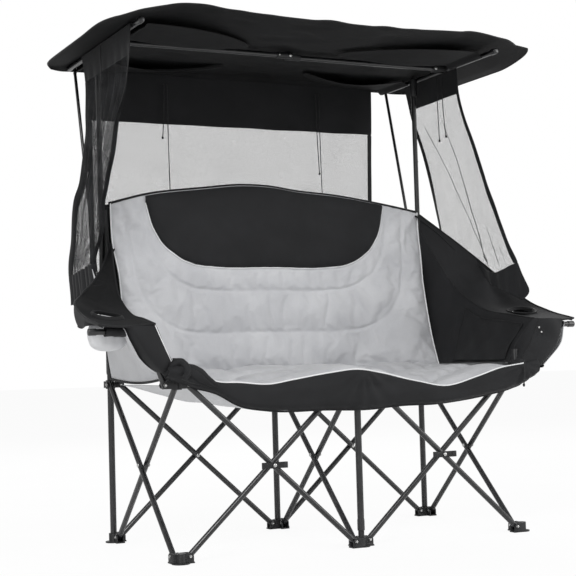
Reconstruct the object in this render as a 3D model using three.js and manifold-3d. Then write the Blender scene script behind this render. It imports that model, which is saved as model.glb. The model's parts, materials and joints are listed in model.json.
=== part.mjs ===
// Folding camping loveseat with a shade canopy. Millimetres, +Z up, +X to the sitter's left,
// +Y to the back, so the sitter faces -Y. The floor is Z = 0. Left and right in the names are
// as seen from the front, so left is -X.
import * as THREE from "three";
import { mergeVertices } from "three/addons/utils/BufferGeometryUtils.js";
import Module from "manifold-3d";

const wasm = await Module();
wasm.setup();

// Frame: six legs in two rows, with crossed tubes between neighbouring legs
const BAY_WIDTH = 550;
const BAY_DEPTH = 550;
const FOOT_PIVOT_HEIGHT = 18;
const HUB_PIVOT_HEIGHT = 476;
const PIVOT_OFFSET = 27;
const LANE_OFFSET = 9;
const TUBE_RADIUS = 8;
const TUBE_WALL = 1.2;
const TUBE_END = 9;
const TUBE_SIDES = 8;
const POST_RADIUS = 9.5;
const POST_WALL = 1.5;
const POST_SIDES = 12;
const CORNER_POST_TOP = 1008;
const MIDDLE_POST_TOP = CORNER_POST_TOP + 64;
const RUNNING_GAP = 0.4;
const SEAT_GAP = 0.3;
const CLOTH_GAP = 0.7;
const CUT_OVERRUN = 20;
const WELD_GAP = 1e-3;
const ARC_STEPS = 2;

// Moulded feet and hubs
const BOSS_RADIUS = 14.5;
const BASE_THICKNESS = 4;
const BASE_RADIUS = 25;
const BASE_REACH = 39;
const BASE_MARGIN = 1;
const SOCKET_DEPTH = 8;
const HUB_HALF_HEIGHT = 13;
const EAR_THICKNESS = 4;
const EAR_RADIUS = 10;
const WEB_DEPTH = 7;
const RIVET_RADIUS = 3;
const RIVET_HEAD_RADIUS = 5.5;
const RIVET_HEAD_HEIGHT = 2.5;
const RIVET_SINK = 1;
const RIVET_SIDES = 6;
const RIVET_HOLE_GAP = 0.6;
const EAR_SIDES = 8;
const BOSS_SIDES = 12;
const FRONT_STUB_TOP = HUB_PIVOT_HEIGHT + 72;

// Front middle post, which stands over a spigot of its foot and lifts off it as the frame folds
const SPIGOT_TOP = 66;
const COLLAR_RADIUS = 8.6;
const SLEEVE_BOTTOM = 46;
const SLEEVE_HEIGHT = 29;
const SLEEVE_RADIUS = 10.5;
const FRONT_POST_TOP = HUB_PIVOT_HEIGHT + 21;
const POST_CAP_HEIGHT = 3;

// Spacer plates at the two front crossings
const PLATE_WIDTH = 77;
const PLATE_HEIGHT = 17;
const PLATE_THICKNESS = 5;
const PLATE_CUP_WIDTH = 14;
const PLATE_CUP_RISE = 2;

// Arms: a support tube from each front corner hub and a short bar across its top
const ARM_PIVOT_OFFSET = 36;
const ARM_LENGTH = 154;
const ARM_TILT = THREE.MathUtils.degToRad(18.6);
const ARM_END = 6;
const ARM_BAR_LENGTH = 153;
const ARM_CAP_LENGTH = 22;
const ARM_CAP_RADIUS = 9.6;
const ARM_CAP_BEVEL = 2;

// Canopy poles, rails and folding strut
const RAIL_HEIGHT = 1487;
const UPRIGHT_TOP = RAIL_HEIGHT - 25;
const UPRIGHT_ANGLE = THREE.MathUtils.degToRad(30);
const UPRIGHT_GAP = 0.5;
const SNAP_BUTTON_HEIGHT = 1202;
const SNAP_BUTTON_RADIUS = 3;
const SNAP_BUTTON_REACH = 2;
const SOCKET_BOTTOM = 730;
const SOCKET_TOP = SOCKET_BOTTOM + 60;
const UPRIGHT_BOTTOM = SOCKET_BOTTOM + 8;
const SOCKET_WALL = 3.5;
const SOCKET_FLOOR = 5;
const RAIL_LANE = 24.5;
const RAIL_PIVOT_BACK = 16;
const RAIL_FRONT_LENGTH = 480;
const RAIL_REAR_LENGTH = 200;
const RAIL_CAP_RADIUS = 9.5;
const RAIL_CAP_LENGTH = 24;
const HOUSING_LENGTH = 36;
const HOUSING_WALL = 3;
const HOUSING_LUG = 11;
const STRUT_FORWARD = 195;
const STRUT_PIVOT_INSET = 45;
const STRUT_KNUCKLE_LENGTH = 46;
const STRUT_KNUCKLE_RADIUS = 10.5;
const STRUT_HEAD_REACH = 4;
const BRACE_RADIUS = 5;
const BRACE_WALL = 1;
const BRACE_LANE = 9.4;
const BRACE_FOOT_BACK = 14.5;
const BRACE_FOOT_DIP = 1.4;
const BRACE_FOOT_HEIGHT = SOCKET_TOP - 26;
const BRACE_TOP_INSET = 10;
const BRACE_PIN_RADIUS = 2;
const BRACE_END = 6;
const BRACE_SIDES = 8;

// Backrest and seat
const BACK_HALF_WIDTH = BAY_WIDTH - 4;
const BACK_THICKNESS = 26;
const BACK_CORNER_TOP = CORNER_POST_TOP + 18;
const BACK_CROWN = 70;
const BACK_BOTTOM = HUB_PIVOT_HEIGHT + 36;
const BACK_TOP_LEAN = 10;
const BACK_PLANE = BAY_DEPTH - 20;
const BACK_LEAN_START = BACK_CORNER_TOP - 126;
const BACK_EDGE = 7;
const BACK_CHANNELS = 2;
const BACK_COLUMNS = 14;
const BACK_ROWS = 10;
const HEADREST_HALF_WIDTH = BACK_HALF_WIDTH - 146;
const HEADREST_TOP_DROP = 14;
const HEADREST_HEIGHT = 218;
const HEADREST_THICKNESS = 3;
const HEADREST_CORNER = 110;
const HEADREST_ROWS = 6;
const HEADREST_COLUMNS = 14;
const SEAT_HALF_WIDTH = BAY_WIDTH - 28;
const SEAT_FRONT = 28;
const SEAT_REAR = BAY_DEPTH - 50;
const SEAT_THICKNESS = 40;
const SEAT_EDGE = 8;
const SEAT_DIP = 26;
const SEAT_SAG = 20;
const SEAT_CHANNELS = 3;
const SEAT_COLUMNS = 18;
const SEAT_ROWS = 10;
const CHANNEL_DEPTH = 10;

// Front band
const BAND_HALF_WIDTH = BAY_WIDTH - 18;
const BAND_THICKNESS = 4;
const BAND_FRONT = 28;
const BAND_CORNER_TOP = HUB_PIVOT_HEIGHT + 44;
const BAND_SAG = 42;
const BAND_DROP = 104;
const BAND_CORNER_DROP = 46;
const BAND_COLUMNS = 20;
const BAND_ROWS = 4;

// Side panels, each with an arm shelf and a cup pouch
const PANEL_THICKNESS = 4;
const PANEL_FOOT_HEIGHT = HUB_PIVOT_HEIGHT + 34;
const PANEL_REAR = BAY_DEPTH - 38;
const PANEL_REAR_OUT = 20;
const PANEL_REAR_DROP = 34;
const PANEL_RIDGE_IN = 10;
const PANEL_RIDGE_DROP = 68;
const PANEL_COLUMNS = 8;
const PANEL_ROWS = 9;
const RIDGE_FRONT = BAY_WIDTH + 72;
const RIDGE_REAR = BAY_WIDTH + 106;
const RIDGE_DROP = 34;
const SHELF_FRONT = 14;
const SHELF_LOWERING = 4;
const SHELF_OUTER_FRONT = BAY_WIDTH + 218;
const SHELF_OUTER_REAR = BAY_WIDTH + 213;
const SHELF_RISE = 78;
const CUP_RADIUS = 40;
const CUP_OUT = BAY_WIDTH + 140;
const CUP_BACK = 150;
const CUP_DEPTH = 74;
const CUP_SINK = 28;
const CUP_WALL = 2.5;
const CUP_TAPER = 6;
const CUP_SIDES = 12;

// Canopy cloth
const CLOTH_THICKNESS = 3;
const CURTAIN_ROWS = 2;
const ROOF_FRONT = 48;
const ROOF_REAR_OVERHANG = 16;
const ROOF_RISE = 9;
const ROOF_FLAP_WIDTH = 96;
const ROOF_FLAP_DROP = 22;
const ROOF_COLUMNS = 20;
const ROOF_ROWS = 4;
const REAR_CURTAIN_HALF_WIDTH = BAY_WIDTH - 18;
const REAR_CURTAIN_BOTTOM = 752;
const REAR_CURTAIN_FOLD = 7;
const REAR_CURTAIN_FOLDS = 9;
const REAR_CURTAIN_COLUMNS = 36;
const SIDE_CURTAIN_FRONT = 262;
const SIDE_CURTAIN_REAR = BAY_DEPTH + 90;
const SIDE_CURTAIN_FLARE = 52;
const SIDE_CURTAIN_FOLD = 9;
const SIDE_CURTAIN_FOLDS = 3;
const SIDE_CURTAIN_COLUMNS = 18;
const LEFT_HEM_FRONT = 370;
const LEFT_HEM_REAR = BAY_DEPTH + 10;
const LEFT_HEM_HEIGHTS = [870, 830];
const RIGHT_HEM_FRONT = 42;
const RIGHT_HEM_HEIGHTS = [732, 816, 932, 1008];

const COLOURS = {
  tube: { color: 0x1b1c1e, roughness: 0.38, metalness: 0.5 },
  moulding: { color: 0x18191a, roughness: 0.55, metalness: 0 },
  black_cloth: { color: 0x26282b, roughness: 0.9, metalness: 0 },
  grey_cloth: { color: 0xbfc1c4, roughness: 0.9, metalness: 0 },
  mesh_cloth: { color: 0x6a6c70, roughness: 0.85, metalness: 0 },
};

const model = new THREE.Group();
model.name = "camping_loveseat";

const X_AXIS = new THREE.Vector3(1, 0, 0);
const Y_AXIS = new THREE.Vector3(0, 1, 0);
const Z_AXIS = new THREE.Vector3(0, 0, 1);
const vector = (x, y, z) => new THREE.Vector3(x, y, z);
const along = (from, direction, distance) => from.clone().addScaledVector(direction, distance);

// Solid of a closed geometry, with its faces turned outwards
function solid(geometry) {
  const bare = geometry.index ? geometry.toNonIndexed() : geometry.clone();
  bare.deleteAttribute("normal");
  bare.deleteAttribute("uv");
  const merged = mergeVertices(bare, WELD_GAP);
  const build = (triVerts) =>
    new wasm.Manifold(
      new wasm.Mesh({ numProp: 3, vertProperties: merged.attributes.position.array, triVerts }),
    );
  const triangles = new Uint32Array(merged.index.array);
  const made = build(triangles);
  if (made.volume() > 0) return made;
  for (let i = 0; i < triangles.length; i += 3) {
    [triangles[i + 1], triangles[i + 2]] = [triangles[i + 2], triangles[i + 1]];
  }
  return build(triangles);
}

function geometryOf(body) {
  const mesh = body.getMesh();
  const points = new Float32Array(mesh.numVert * 3);
  for (let i = 0; i < mesh.numVert; i++) {
    const at = i * mesh.numProp;
    points.set(mesh.vertProperties.subarray(at, at + 3), i * 3);
  }
  const geometry = new THREE.BufferGeometry();
  geometry.setAttribute("position", new THREE.BufferAttribute(points, 3));
  geometry.setIndex(new THREE.BufferAttribute(new Uint32Array(mesh.triVerts), 1));
  const flat = geometry.toNonIndexed();
  flat.computeVertexNormals();
  return flat;
}

// Adds one named piece, whose solid is drawn in the group's own frame
function piece(name, body, look, parent = model) {
  const mesh = new THREE.Mesh(geometryOf(body), new THREE.MeshStandardMaterial(COLOURS[look]));
  mesh.name = name;
  parent.add(mesh);
  return mesh;
}

// Group at a place, turned so that its own Z runs along a direction and its own Y lies nearest to side
function station(at, direction = Z_AXIS, side = Y_AXIS) {
  const group = new THREE.Group();
  const z = direction.clone().normalize();
  const x = side.clone().cross(z).normalize();
  const y = z.clone().cross(x);
  group.setRotationFromMatrix(new THREE.Matrix4().makeBasis(x, y, z));
  group.position.copy(at);
  model.add(group);
  return group;
}

const join = (...bodies) => bodies.reduce((sum, body) => sum.add(body));

function rod(from, to, radius, sides, topRadius = radius) {
  const length = from.distanceTo(to);
  const shape = new THREE.CylinderGeometry(topRadius, radius, length, sides);
  shape.translate(0, length / 2, 0);
  const turn = new THREE.Quaternion();
  turn.setFromUnitVectors(Y_AXIS, to.clone().sub(from).normalize());
  shape.applyQuaternion(turn);
  shape.translate(from.x, from.y, from.z);
  return solid(shape);
}

function block(low, high) {
  const size = high.clone().sub(low);
  const shape = new THREE.BoxGeometry(size.x, size.y, size.z);
  shape.translate(low.x + size.x / 2, low.y + size.y / 2, low.z + size.z / 2);
  return solid(shape);
}

// Body of revolution about Z; the profile lists [radius, height] and closes on itself
function turned(profile, sides) {
  const points = [...profile, profile[0]].map(([r, z]) => new THREE.Vector2(r, z));
  const shape = new THREE.LatheGeometry(points, sides);
  shape.rotateX(Math.PI / 2);
  return solid(shape);
}

const pipe = (bottom, top, radius, wall, sides) =>
  turned(
    [
      [radius - wall, bottom],
      [radius, bottom],
      [radius, top],
      [radius - wall, top],
    ],
    sides,
  );

// Closed sheet over a grid: place(u, v) is its middle surface and thick(u, v) its thickness
const SLOPE_SHARE = 1e-3;
function sheet(columns, rows, place, thick) {
  const points = [];
  for (const face of [1, -1]) {
    for (let j = 0; j <= rows; j++) {
      for (let i = 0; i <= columns; i++) {
        const u = i / columns;
        const v = j / rows;
        const ahead = [Math.min(u + SLOPE_SHARE, 1), Math.min(v + SLOPE_SHARE, 1)];
        const behind = [Math.max(u - SLOPE_SHARE, 0), Math.max(v - SLOPE_SHARE, 0)];
        const du = place(ahead[0], v).sub(place(behind[0], v));
        const dv = place(u, ahead[1]).sub(place(u, behind[1]));
        const normal = du.cross(dv).normalize();
        points.push(place(u, v).addScaledVector(normal, (face * thick(u, v)) / 2));
      }
    }
  }
  const layer = (columns + 1) * (rows + 1);
  const at = (i, j, face) => face * layer + j * (columns + 1) + i;
  const faces = [];
  const quad = (a, b, c, d) => faces.push(a, b, c, a, c, d);
  for (let j = 0; j < rows; j++) {
    for (let i = 0; i < columns; i++) {
      quad(at(i, j, 0), at(i + 1, j, 0), at(i + 1, j + 1, 0), at(i, j + 1, 0));
      quad(at(i, j, 1), at(i, j + 1, 1), at(i + 1, j + 1, 1), at(i + 1, j, 1));
    }
  }
  for (let i = 0; i < columns; i++) {
    quad(at(i, 0, 0), at(i, 0, 1), at(i + 1, 0, 1), at(i + 1, 0, 0));
    quad(at(i, rows, 0), at(i + 1, rows, 0), at(i + 1, rows, 1), at(i, rows, 1));
  }
  for (let j = 0; j < rows; j++) {
    quad(at(0, j, 0), at(0, j + 1, 0), at(0, j + 1, 1), at(0, j, 1));
    quad(at(columns, j, 0), at(columns, j, 1), at(columns, j + 1, 1), at(columns, j + 1, 0));
  }
  const shape = new THREE.BufferGeometry();
  const data = new Float32Array(points.flatMap((p) => [p.x, p.y, p.z]));
  shape.setAttribute("position", new THREE.BufferAttribute(data, 3));
  shape.setIndex(faces);
  return solid(shape);
}

const mix = THREE.MathUtils.lerp;
const smooth = (low, high, value) => THREE.MathUtils.smoothstep(value, low, high);

// Value along a list of [share, value] stops
function course(stops, share) {
  let next = stops.findIndex(([at]) => at >= share);
  if (next < 0) next = stops.length - 1;
  if (next === 0) return stops[0][1];
  const [a, from] = stops[next - 1];
  const [b, to] = stops[next];
  return mix(from, to, (share - a) / (b - a));
}

// Legs: column -1, 0 or 1 from the sitter's right to left, row 0 at the front and 1 at the back
const legPlace = ([column, row], height = 0) => vector(column * BAY_WIDTH, row * BAY_DEPTH, height);
const LEG_NAMES = {
  "-1,0": "front_left",
  "0,0": "front_middle",
  "1,0": "front_right",
  "-1,1": "rear_left",
  "0,1": "rear_middle",
  "1,1": "rear_right",
};

// Crossed tubes: the leg whose foot each one stands on, the leg whose hub it rises to, and
// the side of the leg line on which it runs (along +X or +Y)
const CROSS_TUBES = {
  front_left_rear_tube: { foot: [-1, 0], hub: [0, 0], lane: 1 },
  front_left_front_tube: { foot: [0, 0], hub: [-1, 0], lane: -1 },
  front_right_rear_tube: { foot: [0, 0], hub: [1, 0], lane: 1 },
  front_right_front_tube: { foot: [1, 0], hub: [0, 0], lane: -1 },
  rear_left_front_tube: { foot: [0, 1], hub: [-1, 1], lane: -1 },
  rear_left_rear_tube: { foot: [-1, 1], hub: [0, 1], lane: 1 },
  rear_right_front_tube: { foot: [1, 1], hub: [0, 1], lane: -1 },
  rear_right_rear_tube: { foot: [0, 1], hub: [1, 1], lane: 1 },
  left_side_inner_tube: { foot: [-1, 1], hub: [-1, 0], lane: 1 },
  left_side_outer_tube: { foot: [-1, 0], hub: [-1, 1], lane: -1 },
  middle_right_tube: { foot: [0, 1], hub: [0, 0], lane: 1 },
  middle_left_tube: { foot: [0, 0], hub: [0, 1], lane: -1 },
  right_side_outer_tube: { foot: [1, 1], hub: [1, 0], lane: 1 },
  right_side_inner_tube: { foot: [1, 0], hub: [1, 1], lane: -1 },
};

const runOf = ({ foot, hub }) => legPlace(hub).sub(legPlace(foot));
const laneAxis = (tube) => (Math.abs(runOf(tube).x) > 0 ? Y_AXIS : X_AXIS);
const laneShift = (tube) => laneAxis(tube).clone().multiplyScalar(tube.lane * LANE_OFFSET);

function pivotsOf(tube) {
  const run = runOf(tube).normalize();
  const low = along(legPlace(tube.foot, FOOT_PIVOT_HEIGHT), run, PIVOT_OFFSET);
  const high = along(legPlace(tube.hub, HUB_PIVOT_HEIGHT), run, -PIVOT_OFFSET);
  return { low: low.add(laneShift(tube)), high: high.add(laneShift(tube)) };
}

// Plate from an outline in the plane of run and Z, which starts at one place across that plane
function plate(outline, run, start, thickness) {
  const across = run.clone().cross(Z_AXIS);
  const flat = { depth: thickness, bevelEnabled: false, curveSegments: ARC_STEPS };
  const shape = new THREE.ExtrudeGeometry(outline, flat);
  const turn = new THREE.Matrix4().makeBasis(run, Z_AXIS, across);
  shape.applyMatrix4(turn.setPosition(across.multiplyScalar(start)));
  return solid(shape);
}

// Outline of a fork's ear, round past its rivet. A foot's ear stands on the floor.
function earOutline(height, standing, reach) {
  const outline = new THREE.Shape();
  const bottom = standing ? 0 : height - EAR_RADIUS;
  outline.moveTo(0, bottom);
  if (standing) {
    outline.lineTo(reach + EAR_RADIUS, bottom);
    outline.absarc(reach, height, EAR_RADIUS, 0, Math.PI / 2);
  } else {
    outline.lineTo(reach, bottom);
    outline.absarc(reach, height, EAR_RADIUS, -Math.PI / 2, Math.PI / 2);
  }
  outline.lineTo(0, height + EAR_RADIUS);
  return outline;
}

function webOutline(height, standing) {
  const bottom = standing ? 0 : height - EAR_RADIUS;
  const outline = new THREE.Shape();
  outline.moveTo(0, bottom);
  outline.lineTo(WEB_DEPTH, bottom);
  outline.lineTo(WEB_DEPTH, height + EAR_RADIUS);
  outline.lineTo(0, height + EAR_RADIUS);
  return outline;
}

// Fork that carries one tube's end at a moulded foot or hub, drawn round the leg's axis.
// run points from the leg to the tube, and shift carries the tube's lane.
const FORK_INNER = TUBE_RADIUS + RUNNING_GAP;
const FORK_OUTER = FORK_INNER + EAR_THICKNESS;
function fork(run, shift, height, standing, reach = PIVOT_OFFSET) {
  const across = run.clone().cross(Z_AXIS);
  const lane = shift.dot(across);
  const ear = earOutline(height, standing, reach);
  const at = (offset) => run.clone().multiplyScalar(reach).addScaledVector(across, offset).setZ(height);
  const parts = [
    plate(webOutline(height, standing), run, lane - FORK_OUTER, 2 * FORK_OUTER),
    plate(ear, run, lane - FORK_OUTER, EAR_THICKNESS),
    plate(ear, run, lane + FORK_INNER, EAR_THICKNESS),
    rivet(at(lane - FORK_OUTER), at(lane + FORK_OUTER)),
  ];
  return join(...parts);
}

// Rivet through two faces, with a head past each of them
function rivet(from, to) {
  const run = to.clone().sub(from).normalize();
  const low = along(from, run, -RIVET_HEAD_HEIGHT);
  const high = along(to, run, RIVET_HEAD_HEIGHT);
  return join(
    rod(low, high, RIVET_RADIUS, RIVET_SIDES),
    rod(low, from, RIVET_HEAD_RADIUS, RIVET_SIDES),
    rod(to, high, RIVET_HEAD_RADIUS, RIVET_SIDES),
  );
}

// Clearance hole for a rivet, cut right through whatever lies on its line
const rivetHole = (from, to) => rod(from, to, RIVET_RADIUS + RIVET_HOLE_GAP, RIVET_SIDES);

// Runs and lanes of every tube that meets a leg, at its foot or at its hub
function meeting(leg, end) {
  const found = [];
  for (const tube of Object.values(CROSS_TUBES)) {
    if (tube[end].join() !== leg.join()) continue;
    const run = runOf(tube).normalize();
    found.push({ run: end === "foot" ? run : run.negate(), shift: laneShift(tube) });
  }
  return found;
}

// Base under one fork of a foot
function baseLobe(run, shift) {
  const side = vector(-run.y, run.x, 0);
  const half = FORK_OUTER + BASE_MARGIN;
  const corner = (x, y) => run.clone().multiplyScalar(x).addScaledVector(side, y).add(shift);
  const a = corner(0, -half);
  const b = corner(BASE_REACH, half).setZ(BASE_THICKNESS);
  return block(a.clone().min(b), a.clone().max(b));
}

function makeFoot(leg) {
  const upTo = (height) => vector(0, 0, height);
  const height = FOOT_PIVOT_HEIGHT + EAR_RADIUS;
  const parts = [
    rod(upTo(0), upTo(BASE_THICKNESS), BASE_RADIUS, BOSS_SIDES),
    rod(upTo(0), upTo(height), BOSS_RADIUS, BOSS_SIDES),
  ];
  for (const { run, shift } of meeting(leg, "foot")) {
    parts.push(fork(run, shift, FOOT_PIVOT_HEIGHT, true), baseLobe(run, shift));
  }
  const body = join(...parts);
  if (leg[1] === 1) {
    const mouth = upTo(height + CUT_OVERRUN);
    return body.subtract(rod(upTo(SOCKET_DEPTH), mouth, POST_RADIUS + SEAT_GAP, POST_SIDES));
  }
  if (leg[0] !== 0) return body;
  const spigot = POST_RADIUS - POST_WALL - RUNNING_GAP;
  return join(
    body,
    rod(upTo(0), upTo(SLEEVE_BOTTOM - RUNNING_GAP), COLLAR_RADIUS, POST_SIDES),
    rod(upTo(0), upTo(SPIGOT_TOP), spigot, POST_SIDES),
  );
}

// Hub drawn round its own pivot height. Those of the front corners end in a stub for the cloth
// and carry the arm's fork, and the others have a bore for the post.
function makeHub(leg) {
  const upTo = (height) => vector(0, 0, height);
  const parts = [rod(upTo(-HUB_HALF_HEIGHT), upTo(HUB_HALF_HEIGHT), BOSS_RADIUS, BOSS_SIDES)];
  for (const { run, shift } of meeting(leg, "hub")) {
    parts.push(fork(run, shift, 0, false));
  }
  const bored = leg[1] === 1 || leg[0] === 0;
  if (bored) {
    const reach = HUB_HALF_HEIGHT + CUT_OVERRUN;
    const bore = rod(upTo(-reach), upTo(reach), POST_RADIUS + hubBoreGap(leg), POST_SIDES);
    return join(...parts).subtract(bore);
  }
  parts.push(rod(upTo(0), upTo(FRONT_STUB_TOP - HUB_PIVOT_HEIGHT), POST_RADIUS, POST_SIDES));
  parts.push(fork(vector(leg[0], 0, 0), vector(0, 0, 0), 0, false, ARM_PIVOT_OFFSET));
  return join(...parts);
}

// The front middle hub is clamped on its post; the rear hubs slide on theirs
const hubBoreGap = (leg) => (leg[1] === 0 ? SEAT_GAP : RUNNING_GAP);

function makeLegs() {
  for (const [key, name] of Object.entries(LEG_NAMES)) {
    const leg = key.split(",").map(Number);
    piece(name + "_foot", makeFoot(leg), "moulding", station(legPlace(leg)));
    piece(name + "_hub", makeHub(leg), "moulding", station(legPlace(leg, HUB_PIVOT_HEIGHT)));
  }
  const posts = { rear_left_post: [-1, 1], rear_middle_post: [0, 1], rear_right_post: [1, 1] };
  const foot = SOCKET_DEPTH + SEAT_GAP;
  for (const [name, leg] of Object.entries(posts)) {
    const top = leg[0] === 0 ? MIDDLE_POST_TOP : CORNER_POST_TOP;
    const body = pipe(foot, top, POST_RADIUS, POST_WALL, POST_SIDES);
    piece(name, body, "tube", station(legPlace(leg)));
  }
  piece("front_middle_post", makeFrontPost(), "tube", station(legPlace([0, 0])));
}

// Front middle post: swaged to a sleeve at its foot and closed by a cap
function makeFrontPost() {
  const bore = POST_RADIUS - POST_WALL;
  const neck = SLEEVE_BOTTOM + SLEEVE_HEIGHT;
  const flare = SLEEVE_RADIUS - POST_RADIUS;
  const cap = FRONT_POST_TOP + POST_CAP_HEIGHT;
  return turned(
    [
      [bore, SLEEVE_BOTTOM],
      [SLEEVE_RADIUS, SLEEVE_BOTTOM],
      [SLEEVE_RADIUS, neck],
      [POST_RADIUS, neck + 4 * flare],
      [POST_RADIUS, cap],
      [0, cap],
      [0, FRONT_POST_TOP],
      [bore, FRONT_POST_TOP],
    ],
    POST_SIDES,
  );
}

// Cross tube along Z from its lower pivot, with a hole for each rivet across it along Y
function makeCrossTube(length, pinned) {
  let body = pipe(-TUBE_END, length + TUBE_END, TUBE_RADIUS, TUBE_WALL, TUBE_SIDES);
  const reach = TUBE_RADIUS + CUT_OVERRUN;
  const heights = pinned ? [0, length] : [0, length / 2, length];
  for (const at of heights) {
    body = body.subtract(rivetHole(vector(0, -reach, at), vector(0, reach, at)));
  }
  return body;
}

// Crossing rivet, fixed in the tube of the negative lane, with a washer between the two tubes.
// Y points to the other tube.
function crossingRivet(height, plateReach) {
  const at = (y) => vector(0, y, height);
  const washerEnd = 2 * LANE_OFFSET - FORK_INNER;
  const nearFace = plateReach > 0 ? -TUBE_RADIUS - plateReach : RIVET_SINK - TUBE_RADIUS;
  return join(
    rivet(at(nearFace), at(2 * LANE_OFFSET + FORK_INNER)),
    rod(at(TUBE_RADIUS - TUBE_WALL), at(washerEnd), RIVET_HEAD_RADIUS, RIVET_SIDES),
  );
}

function makeCrossTubes() {
  for (const [name, tube] of Object.entries(CROSS_TUBES)) {
    const { low, high } = pivotsOf(tube);
    const length = low.distanceTo(high);
    const plated = tube.foot[1] === 0 && tube.hub[1] === 0;
    const pinned = tube.lane < 0;
    let body = makeCrossTube(length, pinned);
    if (pinned) {
      const reach = plated ? PLATE_THICKNESS + 2 * RUNNING_GAP : 0;
      body = body.add(crossingRivet(length / 2, reach));
    }
    piece(name, body, "tube", station(low, high.clone().sub(low), laneAxis(tube)));
  }
}

// Spacer plate with a raised cup at each end, turning on the crossing rivet
function makePlate() {
  const half = PLATE_WIDTH / 2;
  const tall = PLATE_HEIGHT / 2;
  const back = -FORK_INNER;
  const front = back - PLATE_THICKNESS;
  const parts = [block(vector(-half, front, -tall), vector(half, back, tall))];
  for (const end of [-1, 1]) {
    const outer = end * half;
    const inner = end * (half - PLATE_CUP_WIDTH);
    const low = vector(Math.min(outer, inner), front - PLATE_CUP_RISE, -tall);
    parts.push(block(low, vector(Math.max(outer, inner), back, tall)));
  }
  const hole = rivetHole(vector(0, front - CUT_OVERRUN, 0), vector(0, back + CUT_OVERRUN, 0));
  return join(...parts).subtract(hole);
}

const crossingHeight = (FOOT_PIVOT_HEIGHT + HUB_PIVOT_HEIGHT) / 2;

function makePlates() {
  for (const [name, side] of Object.entries({ left: -1, right: 1 })) {
    const at = vector((side * BAY_WIDTH) / 2, -LANE_OFFSET, crossingHeight);
    piece("front_" + name + "_spacer_plate", makePlate(), "moulding", station(at));
  }
}

// Arm frame: the support leans outwards from the hub, and the bar turns on a rivet at its top
const armPivot = (side) => vector(side * (BAY_WIDTH + ARM_PIVOT_OFFSET), 0, HUB_PIVOT_HEIGHT);
const armRun = (side) => vector(side * Math.sin(ARM_TILT), 0, Math.cos(ARM_TILT));
const armBarPivot = (side) => along(armPivot(side), armRun(side), ARM_LENGTH);

function makeArmSupport() {
  const at = (y) => vector(0, y, ARM_LENGTH);
  const reach = TUBE_RADIUS + CUT_OVERRUN;
  const washerEnd = at(2 * LANE_OFFSET - FORK_INNER);
  return join(
    pipe(-TUBE_END, ARM_LENGTH + ARM_END, TUBE_RADIUS, TUBE_WALL, TUBE_SIDES),
    rivet(at(RIVET_SINK - TUBE_RADIUS), at(2 * LANE_OFFSET + FORK_INNER)),
    rod(at(TUBE_RADIUS - TUBE_WALL), washerEnd, RIVET_HEAD_RADIUS, RIVET_SIDES),
  ).subtract(rivetHole(vector(0, -reach, 0), vector(0, reach, 0)));
}

// Bar across the front of the arm, closed by a cap at its outer end
function makeArmBar() {
  const reach = TUBE_RADIUS + CUT_OVERRUN;
  const bore = TUBE_RADIUS - TUBE_WALL;
  const capStart = ARM_BAR_LENGTH - ARM_CAP_LENGTH;
  const tube = turned(
    [
      [bore, -TUBE_END],
      [TUBE_RADIUS, -TUBE_END],
      [TUBE_RADIUS, capStart],
      [ARM_CAP_RADIUS, capStart],
      [ARM_CAP_RADIUS, ARM_BAR_LENGTH - ARM_CAP_BEVEL],
      [ARM_CAP_RADIUS - ARM_CAP_BEVEL, ARM_BAR_LENGTH],
      [0, ARM_BAR_LENGTH],
      [0, capStart],
      [bore, capStart],
    ],
    TUBE_SIDES,
  );
  return tube.subtract(rivetHole(vector(0, -reach, 0), vector(0, reach, 0)));
}

function makeArms() {
  for (const [name, side] of Object.entries({ left: -1, right: 1 })) {
    const support = station(armPivot(side), armRun(side), Y_AXIS);
    piece("arm_support_" + name, makeArmSupport(), "tube", support);
    const place = armBarPivot(side).add(vector(0, 2 * LANE_OFFSET, 0));
    piece("arm_bar_" + name, makeArmBar(), "tube", station(place, vector(side, 0, 0), Y_AXIS));
  }
}

// Canopy poles. Each upright stands against the outer rear of its post, in a clamped socket.
const uprightReach = POST_RADIUS + TUBE_RADIUS + UPRIGHT_GAP;
const uprightPlace = (side, height = 0) =>
  vector(
    side * (BAY_WIDTH + uprightReach * Math.cos(UPRIGHT_ANGLE)),
    BAY_DEPTH + uprightReach * Math.sin(UPRIGHT_ANGLE),
    height,
  );
const railPivot = (side) =>
  uprightPlace(side, RAIL_HEIGHT).add(vector(side * RAIL_LANE, RAIL_PIVOT_BACK, 0));
const strutPivot = (side) =>
  railPivot(side).add(vector(-side * STRUT_PIVOT_INSET, -STRUT_FORWARD, 0));
const braceTop = (side) =>
  railPivot(side).add(vector(side * (BRACE_LANE - RAIL_LANE), RAIL_REAR_LENGTH - BRACE_TOP_INSET, 0));
const braceFoot = (side) =>
  uprightPlace(side, BRACE_FOOT_HEIGHT).add(vector(side * BRACE_LANE, BRACE_FOOT_BACK, 0));

function makeUprights() {
  for (const [name, side] of Object.entries({ left: -1, right: 1 })) {
    const group = station(uprightPlace(side));
    const button = vector(side * (TUBE_RADIUS + SNAP_BUTTON_REACH), 0, SNAP_BUTTON_HEIGHT);
    const buttonFoot = vector(side * (TUBE_RADIUS - TUBE_WALL), 0, SNAP_BUTTON_HEIGHT);
    const upright = join(
      pipe(UPRIGHT_BOTTOM, UPRIGHT_TOP, TUBE_RADIUS, TUBE_WALL, TUBE_SIDES),
      rod(buttonFoot, button, SNAP_BUTTON_RADIUS, RIVET_SIDES),
    );
    piece("canopy_upright_" + name, upright, "tube", group);
    piece("canopy_socket_" + name, makeSocket(side), "moulding", group);
    piece("rail_housing_" + name, makeHousing(side), "moulding", group);
  }
}

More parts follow.
